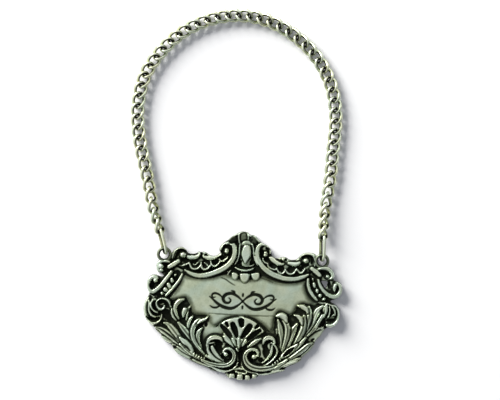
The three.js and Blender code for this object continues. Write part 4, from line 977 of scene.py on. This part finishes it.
def label_piece(finish):
    """The label: relief on top, a wall round its outline and round the gap, a flat back and two eyes.

    Points next to the outline slide onto it along the distance's slope, and the wall drops in rings.
    """
    r, inside, dark, worn = finished_relief()
    cell = top_cells(inside)
    padded = np.pad(cell, 1)
    around = [padded[:-1, :-1], padded[1:, :-1], padded[1:, 1:], padded[:-1, 1:]]
    used = around[0] | around[1] | around[2] | around[3]
    border = used & ~(around[0] & around[1] & around[2] & around[3])
    slope_x, slope_y = np.gradient(inside, SHEET_STEP)
    length = np.maximum(np.hypot(slope_x, slope_y), 0.3)
    slope_x, slope_y = slope_x / length, slope_y / length
    x = np.where(border, r.x - inside * slope_x, r.x)
    y = np.where(border, r.y - inside * slope_y, r.y)
    z = np.where(border, EDGE, np.maximum(r.height, THINNEST_PLATE))
    number = np.full(used.shape, -1)
    number[used] = np.arange(used.sum())
    points = [np.stack([x[used], y[used], z[used]], 1)]
    corners = (number[:-1, :-1], number[1:, :-1], number[1:, 1:], number[:-1, 1:])
    faces = [np.stack([c[cell] for c in corners], 1)]

    # Edges of the top that no neighbouring cell shares, and the wall's rings under them
    lacking = (~padded[1:-1, :-2], ~padded[2:, 1:-1], ~padded[1:-1, 2:], ~padded[:-2, 1:-1])
    start = np.concatenate([corners[k][cell & lacking[k]] for k in range(4)])
    end = np.concatenate([corners[(k + 1) % 4][cell & lacking[k]] for k in range(4)])
    total = len(points[0])
    rim = number[border]
    place = np.full(total, -1)
    place[rim] = np.arange(len(rim))
    above_start, above_end = start, end
    for share, outset in WALL_RINGS:
        level = np.full(len(rim), EDGE * share)
        ring_x, ring_y = x[border] - outset * slope_x[border], y[border] - outset * slope_y[border]
        points.append(np.stack([ring_x, ring_y, level], 1))
        below_start, below_end = total + place[start], total + place[end]
        faces.append(np.stack([above_end, above_start, below_start, below_end], 1))
        above_start, above_end = below_start, below_end
        total += len(rim)
    dark = np.where(border, np.maximum(dark, RIM_BLACK), dark)
    wall_dark = np.maximum(dark[border], WALL_BLACK)
    darks = [dark[used]] + [wall_dark] * (len(WALL_RINGS) - 1) + [np.full(len(rim), BACK_BLACK)]
    worns = [worn[used]] + [worn[border] * WALL_WORN] * len(WALL_RINGS)

    eye_points, eye_faces, eye_dark, eye_worn = eye_loop()
    for middle in EYE_PLACES:
        points.append(eye_points + middle)
        faces.append(eye_faces + total)
        darks.append(eye_dark)
        worns.append(eye_worn)
        total += len(eye_points)
    values = {"dark": np.concatenate(darks), "worn": np.concatenate(worns)}
    piece = mesh_piece("pewter_label", np.concatenate(points), np.concatenate(faces), values, finish)
    close_back(piece)
    return piece


# The wires, as in the CAD model: half length, half width, squareness, twist in degrees, thickness
LINK_WIRE = (2.22, 1.575, 2.5, 47, 1)
RING_WIRE = (3.75, 1.55, 3, 0, 0.9)
WIRE_STEPS, WIRE_SIDES = 56, 14

# A wire's painted shade: on its edges, all along its inside, and how much more of it there is at its
# two ends, where the next link crosses and some grime gathers too
WIRE_EDGE_SHADE, WIRE_INNER_SHADE, WIRE_END_SHADE = 0.34, 0.4, 1.2


def node_place(node):
    """A CAD wire's middle and its three axes.

    They come from how its points spread: most along its length, least across its flat side.
    """
    mesh = frame["nodes"][node].data
    spots = np.empty(len(mesh.vertices) * 3)
    mesh.vertices.foreach_get("co", spots)
    spots = np.unique(np.round(spots.reshape(-1, 3) / MM, 4), axis=0)
    middle = spots.mean(0)
    _, _, axes = np.linalg.svd(spots - middle, full_matrices=False)
    axes[2] = np.cross(axes[0], axes[1])
    return middle, axes


def wire_piece(name, node, size, finish):
    """One closed wire in place of a CAD node.

    Its middle line is a rounded oblong, a power of the sine and of the cosine of the turn, twisted about
    its long axis in proportion to the distance along it. Its flat sides are worn. Its edges carry painted
    shade, and so does its inside, most at its ends where the next link crosses, with some grime there.
    """
    half_length, half_width, squareness, twist, wire = size
    turn = (np.arange(WIRE_STEPS) + 0.5) / WIRE_STEPS * 2 * math.pi
    c, s = np.cos(turn), np.sin(turn)
    along = half_length * np.sign(c) * np.abs(c) ** (2 / squareness)
    across = half_width * np.sign(s) * np.abs(s) ** (2 / squareness)
    angle = np.radians(twist) * along / half_length
    line = np.stack([along, across * np.cos(angle), across * np.sin(angle)], 1)
    points, faces, facing, inward = wire_loop(line, wire / 2, WIRE_SIDES)
    at_end = np.repeat(ease(0.35, 0.95, np.abs(along) / half_length), WIRE_SIDES)
    middle, axes = node_place(node)
    # How far the surface faces sideways, off the link's flat sides: painted shade darkens the wire there
    side_on = ease(0.85, 0.25, np.abs(facing @ axes[:, 2]))
    # Painted shade, with some grime, on the loop's inside, most at its ends where the next link crosses
    hollow = ease(-0.2, 0.6, inward) * (WIRE_INNER_SHADE + WIRE_END_SHADE * at_end)
    values = {"dark": np.clip(WIRE_EDGE_SHADE * side_on + hollow, 0, 1), "worn": ease(0.8, 1, 1 - side_on)}
    return mesh_piece(name, middle + points @ axes, faces, values, finish)


class Signal:
    """One socket's value, so that shader maths reads as arithmetic. Each operator adds a Math node."""

    def __init__(self, socket):
        self.socket = socket

    def maths(self, operation, first, second):
        tree = self.socket.id_data
        node = tree.nodes.new("ShaderNodeMath")
        node.operation = operation
        fill(tree, node, {0: first, 1: second})
        return Signal(node.outputs[0])

    def __add__(self, other):
        return self.maths("ADD", self, other)

    def __radd__(self, other):
        return self.maths("ADD", other, self)

    def __sub__(self, other):
        return self.maths("SUBTRACT", self, other)

    def __rsub__(self, other):
        return self.maths("SUBTRACT", other, self)

    def __mul__(self, other):
        return self.maths("MULTIPLY", self, other)

    def __rmul__(self, other):
        return self.maths("MULTIPLY", other, self)

    def most(self, other):
        return self.maths("MAXIMUM", self, other)

    def sway(self, amount):
        """A noise made to swing about zero by that amount."""
        return (self - 0.5) * amount


def fill(tree, node, sockets):
    """Sets or links a node's sockets, by name or by number."""
    for key, value in sockets.items():
        if isinstance(value, Signal):
            tree.links.new(value.socket, node.inputs[key])
        else:
            node.inputs[key].default_value = value


# A Mix node's sockets for colours go by number, because its sockets for numbers have the same names
MIX_SHARE, MIX_FIRST, MIX_SECOND, MIX_COLOUR = 0, 6, 7, 2


class Tree:
    """A node tree built afresh. node() adds a node, makes its settings, then fills its sockets."""

    def __init__(self, owner):
        owner.use_nodes = True
        self.tree = owner.node_tree
        self.tree.nodes.clear()

    def node(self, kind, settings=None, sockets=None, out=0):
        node = self.tree.nodes.new(kind)
        for key, value in (settings or {}).items():
            if key == "stops":
                ramp = node.color_ramp
                while len(ramp.elements) < len(value):
                    ramp.elements.new(1)
                for element, (position, colour) in zip(ramp.elements, value):
                    element.position, element.color = position, colour
            else:
                setattr(node, key, value)
        fill(self.tree, node, sockets or {})
        return Signal(node.outputs[out]) if len(node.outputs) else node

    def ramp(self, value, low, high):
        """0 where the value is below low, 1 above high, a smooth step between."""
        return self.node("ShaderNodeMapRange", {"interpolation_type": "SMOOTHSTEP"},
                         {"Value": value, "From Min": low, "From Max": high})

    def blend(self, share, first, second, kind="MIX"):
        """Two colours mixed, or multiplied where the kind says so."""
        return self.node("ShaderNodeMix", {"data_type": "RGBA", "blend_type": kind},
                         {MIX_SHARE: share, MIX_FIRST: first, MIX_SECOND: second}, MIX_COLOUR)

    def noise(self, spot, scale, detail, rough):
        """Noise from 0 to 1, with so many clouds to the metre."""
        return self.node("ShaderNodeTexNoise", {"noise_dimensions": "3D"},
                         {"Vector": spot, "Scale": scale, "Detail": detail, "Roughness": rough})

    def named(self, attribute):
        """A value that the mesh carries at its points."""
        return self.node("ShaderNodeAttribute", {"attribute_name": attribute}, out="Fac")

    def ray(self, kind):
        """1 for light rays of that kind, 0 for the others."""
        return self.node("ShaderNodeLightPath", out=f"Is {kind} Ray")


# The metal's noises: scale, detail and roughness. The lines are one squeezed along y and then turned, and
# the tinge sways the colour a little between a cool and a warm grey
CLOUDS, PATCHES, SPECKS = (130, 3, 0.55), (420, 4, 0.6), (2200, 3, 0.6)
LINES, LINES_SCALE, LINES_TURN = (300, 2, 0.6), (1, 12, 1), (0, 0, 0.6)
TINGE, COOL, WARM = (190, 2, 0.5), (0.92, 1, 1, 1), (0.98, 1, 0.92, 1)
BUMP_DEPTH = 0.0001
SPECULAR = 0.12


def old_metal(name, stops, shine, grain):
    """Cast or drawn metal under a coat of patina, with painted shade in places.

    Its colour runs over the stops from rubbed bright, through a thin olive coat, to near black in its
    hollows. The coat is the dark value, which is patina and in places painted shade, swayed by the noises
    and thinned where the metal is worn. Where it is thick the metal is rougher and less metallic. Clouds,
    patches, specks and fine lines make the bumps.
    """
    material = bpy.data.materials.new(name)
    t = Tree(material)
    spot = t.node("ShaderNodeTexCoord", out="Object")
    clouds = t.noise(spot, *CLOUDS)
    patches = t.noise(spot, *PATCHES)
    specks = t.noise(spot, *SPECKS)
    dark = t.named("dark")
    worn = t.named("worn")
    # Patina, and in places painted shade, read from the dark value
    film_and_shade = dark * 1.3 + clouds.sway(0.25) + patches.sway(0.3) + specks.sway(0.2) - worn * 0.2 + 0.1
    plain = t.node("ShaderNodeValToRGB", {"stops": stops}, {"Fac": film_and_shade})
    tinge = t.blend(t.ramp(t.noise(spot, *TINGE), 0.36, 0.64), COOL, WARM)
    colour = t.blend(1, plain, tinge, "MULTIPLY")
    mask = t.ramp(film_and_shade, 0.3, 0.8)
    squeezed = t.node("ShaderNodeMapping", {},
                      {"Vector": spot, "Rotation": LINES_TURN, "Scale": LINES_SCALE})
    lines = t.noise(squeezed, *LINES)
    rough = shine + clouds.sway(0.12) + specks.sway(0.16) + lines.sway(0.1) + mask * 0.28 - worn * 0.12
    bumps = clouds * 2.2 + patches * 1.2 + specks * 0.4 + lines * 0.3
    normal = t.node("ShaderNodeBump", {}, {"Strength": grain, "Distance": BUMP_DEPTH, "Height": bumps})
    shader = t.node("ShaderNodeBsdfPrincipled", {}, {
        "Base Color": colour, "Metallic": 1 - mask * 0.5, "Roughness": rough, "Normal": normal,
        "Specular IOR Level": SPECULAR})
    t.node("ShaderNodeOutputMaterial", {}, {"Surface": shader})
    return material


pewter = old_metal("antique pewter", [
    (0, (0.78, 0.83, 0.69, 1)), (0.16, (0.60, 0.66, 0.51, 1)), (0.36, (0.30, 0.33, 0.24, 1)),
    (0.58, (0.085, 0.095, 0.062, 1)), (0.82, (0.012, 0.014, 0.009, 1))], 0.36, 0.5)
silver = old_metal("worn silver wire", [
    (0, (0.94, 0.95, 0.78, 1)), (0.22, (0.82, 0.83, 0.60, 1)), (0.45, (0.42, 0.43, 0.24, 1)),
    (0.63, (0.10, 0.10, 0.045, 1)), (0.84, (0.012, 0.013, 0.006, 1))], 0.26, 0.25)


label = label_piece(pewter)
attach(label, "label_plate")
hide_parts("label_plate")

for body, nodes in frame["record"]["behaviour"]["bodies"].items():
    for node in nodes:
        if node == "label_plate":
            continue
        size = RING_WIRE if node.startswith("ring") else LINK_WIRE
        wire = wire_piece(node + "_wire", node, size, silver)
        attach(wire, body)
        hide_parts(node)


# The camera looks straight down, turned a little, and takes in as wide a strip as the photograph at the
# level of the label's surface
VIEW_WIDTH = 150 * MM
VIEW_LEVEL = 2 * MM
VIEW_TURN = math.radians(2.5)
VIEW_RIGHT, VIEW_UP = 1.95 * MM, 32.55 * MM
VIEW_NEAREST, VIEW_FARTHEST = 0.01, 20
LENS, SENSOR = 100, 36

FLOOR_WIDTH = 4
FLOOR_LEVEL = -0.00004
FLOOR_WHITE = 0.9
FLOOR_GLOW, GLOW_COLOUR = 0.1, (0.96, 0.97, 1, 1)

# The room as metal mirrors it, from the far side to the window's, and its even light on everything else
ROOM_STOPS = [
    (0, (0.16, 0.165, 0.17, 1)), (0.28, (0.26, 0.265, 0.27, 1)), (0.5, (0.67, 0.68, 0.68, 1)),
    (0.75, (1, 1, 0.99, 1)), (1, (0.75, 0.75, 0.75, 1))]
ROOM_LIGHT, ROOM_COLOUR = 0.2, (0.80, 0.86, 1, 1)

# The window is two lamps, one just in front of the other. The metal mirrors only the weaker and nearer
# one, so that the lamp's reflection is dimmer than its light
LAMP_SIZE, LAMP_COLOUR = 1.5, (1, 0.99, 0.965)
LAMP_AWAY, SHEEN_AWAY = 2.3, 2.25
LAMP_WATTS, SHEEN_WATTS = 112, 38
LAMP_TILT, LAMP_FROM = math.radians(68), math.radians(137)
LAMP_AIM = (0, 0.03, 0)


def white_floor():
    """A wide white floor just under the label. It shows a little brighter to the eye and to the metal."""
    bpy.ops.mesh.primitive_plane_add(size=FLOOR_WIDTH)
    floor = bpy.context.object
    floor.name = "floor"
    for corner in floor.data.vertices:
        corner.co.z = FLOOR_LEVEL
    material = bpy.data.materials.new("floor white")
    t = Tree(material)
    seen = t.ray("Camera") + t.ray("Glossy")
    paint = t.node("ShaderNodeBsdfDiffuse", {}, {"Color": (FLOOR_WHITE, FLOOR_WHITE, FLOOR_WHITE, 1)})
    glow = t.node("ShaderNodeEmission", {}, {"Color": GLOW_COLOUR, "Strength": seen * FLOOR_GLOW})
    both = t.node("ShaderNodeAddShader", {}, {0: paint, 1: glow})
    t.node("ShaderNodeOutputMaterial", {}, {"Surface": both})
    floor.data.materials.append(material)


def room():
    """A pale room, which the eye sees white.

    Matt things get an even light. Metal mirrors it brighter towards the window, grey overhead and darkest
    on the far side.
    """
    world = bpy.data.worlds.new("pale room")
    bpy.context.scene.world = world
    t = Tree(world)
    looked_at = t.ray("Camera")
    mirrored = looked_at.most(t.ray("Glossy")).most(t.ray("Transmission"))
    way = t.node("ShaderNodeTexCoord", out="Generated")
    window = (math.cos(LAMP_FROM), math.sin(LAMP_FROM), 0)
    across = t.node("ShaderNodeVectorMath", {"operation": "DOT_PRODUCT"}, {0: way, 1: window}, "Value")
    sky = t.node("ShaderNodeValToRGB", {"stops": ROOM_STOPS}, {"Fac": across * 0.5 + 0.5})
    white = t.blend(looked_at, sky, (1, 1, 1, 1))
    seen = t.node("ShaderNodeBackground", {}, {"Color": white, "Strength": 1})
    even = t.node("ShaderNodeBackground", {}, {"Color": ROOM_COLOUR, "Strength": ROOM_LIGHT})
    both = t.node("ShaderNodeMixShader", {}, {0: mirrored, 1: even, 2: seen})
    t.node("ShaderNodeOutputWorld", {}, {"Surface": both})


def soft_lamp(name, away, watts, mirrored):
    """A square soft lamp that faces the label, tilted from straight overhead and turned from the right."""
    data = bpy.data.lights.new(name, "AREA")
    data.size, data.energy, data.color = LAMP_SIZE, watts, LAMP_COLOUR
    lamp = bpy.data.objects.new(name, data)
    level = math.sin(LAMP_TILT)
    way = Vector((level * math.cos(LAMP_FROM), level * math.sin(LAMP_FROM), math.cos(LAMP_TILT)))
    lamp.location = Vector(LAMP_AIM) + away * way
    lamp.rotation_euler = way.to_track_quat("Z", "Y").to_euler()
    lamp.visible_glossy = mirrored
    bpy.context.scene.collection.objects.link(lamp)


def camera():
    """The scene's camera, over the middle of the view at the distance that gives the view its width."""
    data = bpy.data.cameras.new("camera")
    data.lens, data.sensor_width = LENS, SENSOR
    data.clip_start, data.clip_end = VIEW_NEAREST, VIEW_FARTHEST
    away = VIEW_WIDTH * LENS / SENSOR
    eye = bpy.data.objects.new("camera", data)
    c, s = math.cos(VIEW_TURN), math.sin(VIEW_TURN)
    eye.location = (VIEW_RIGHT * c - VIEW_UP * s, VIEW_RIGHT * s + VIEW_UP * c, away + VIEW_LEVEL)
    eye.rotation_euler = (0, 0, VIEW_TURN)
    bpy.context.scene.collection.objects.link(eye)
    bpy.context.scene.camera = eye


white_floor()
room()
soft_lamp("window light", LAMP_AWAY, LAMP_WATTS, False)
soft_lamp("window sheen", SHEEN_AWAY, SHEEN_WATTS, True)
camera()
bpy.context.scene.view_settings.view_transform = "Standard"
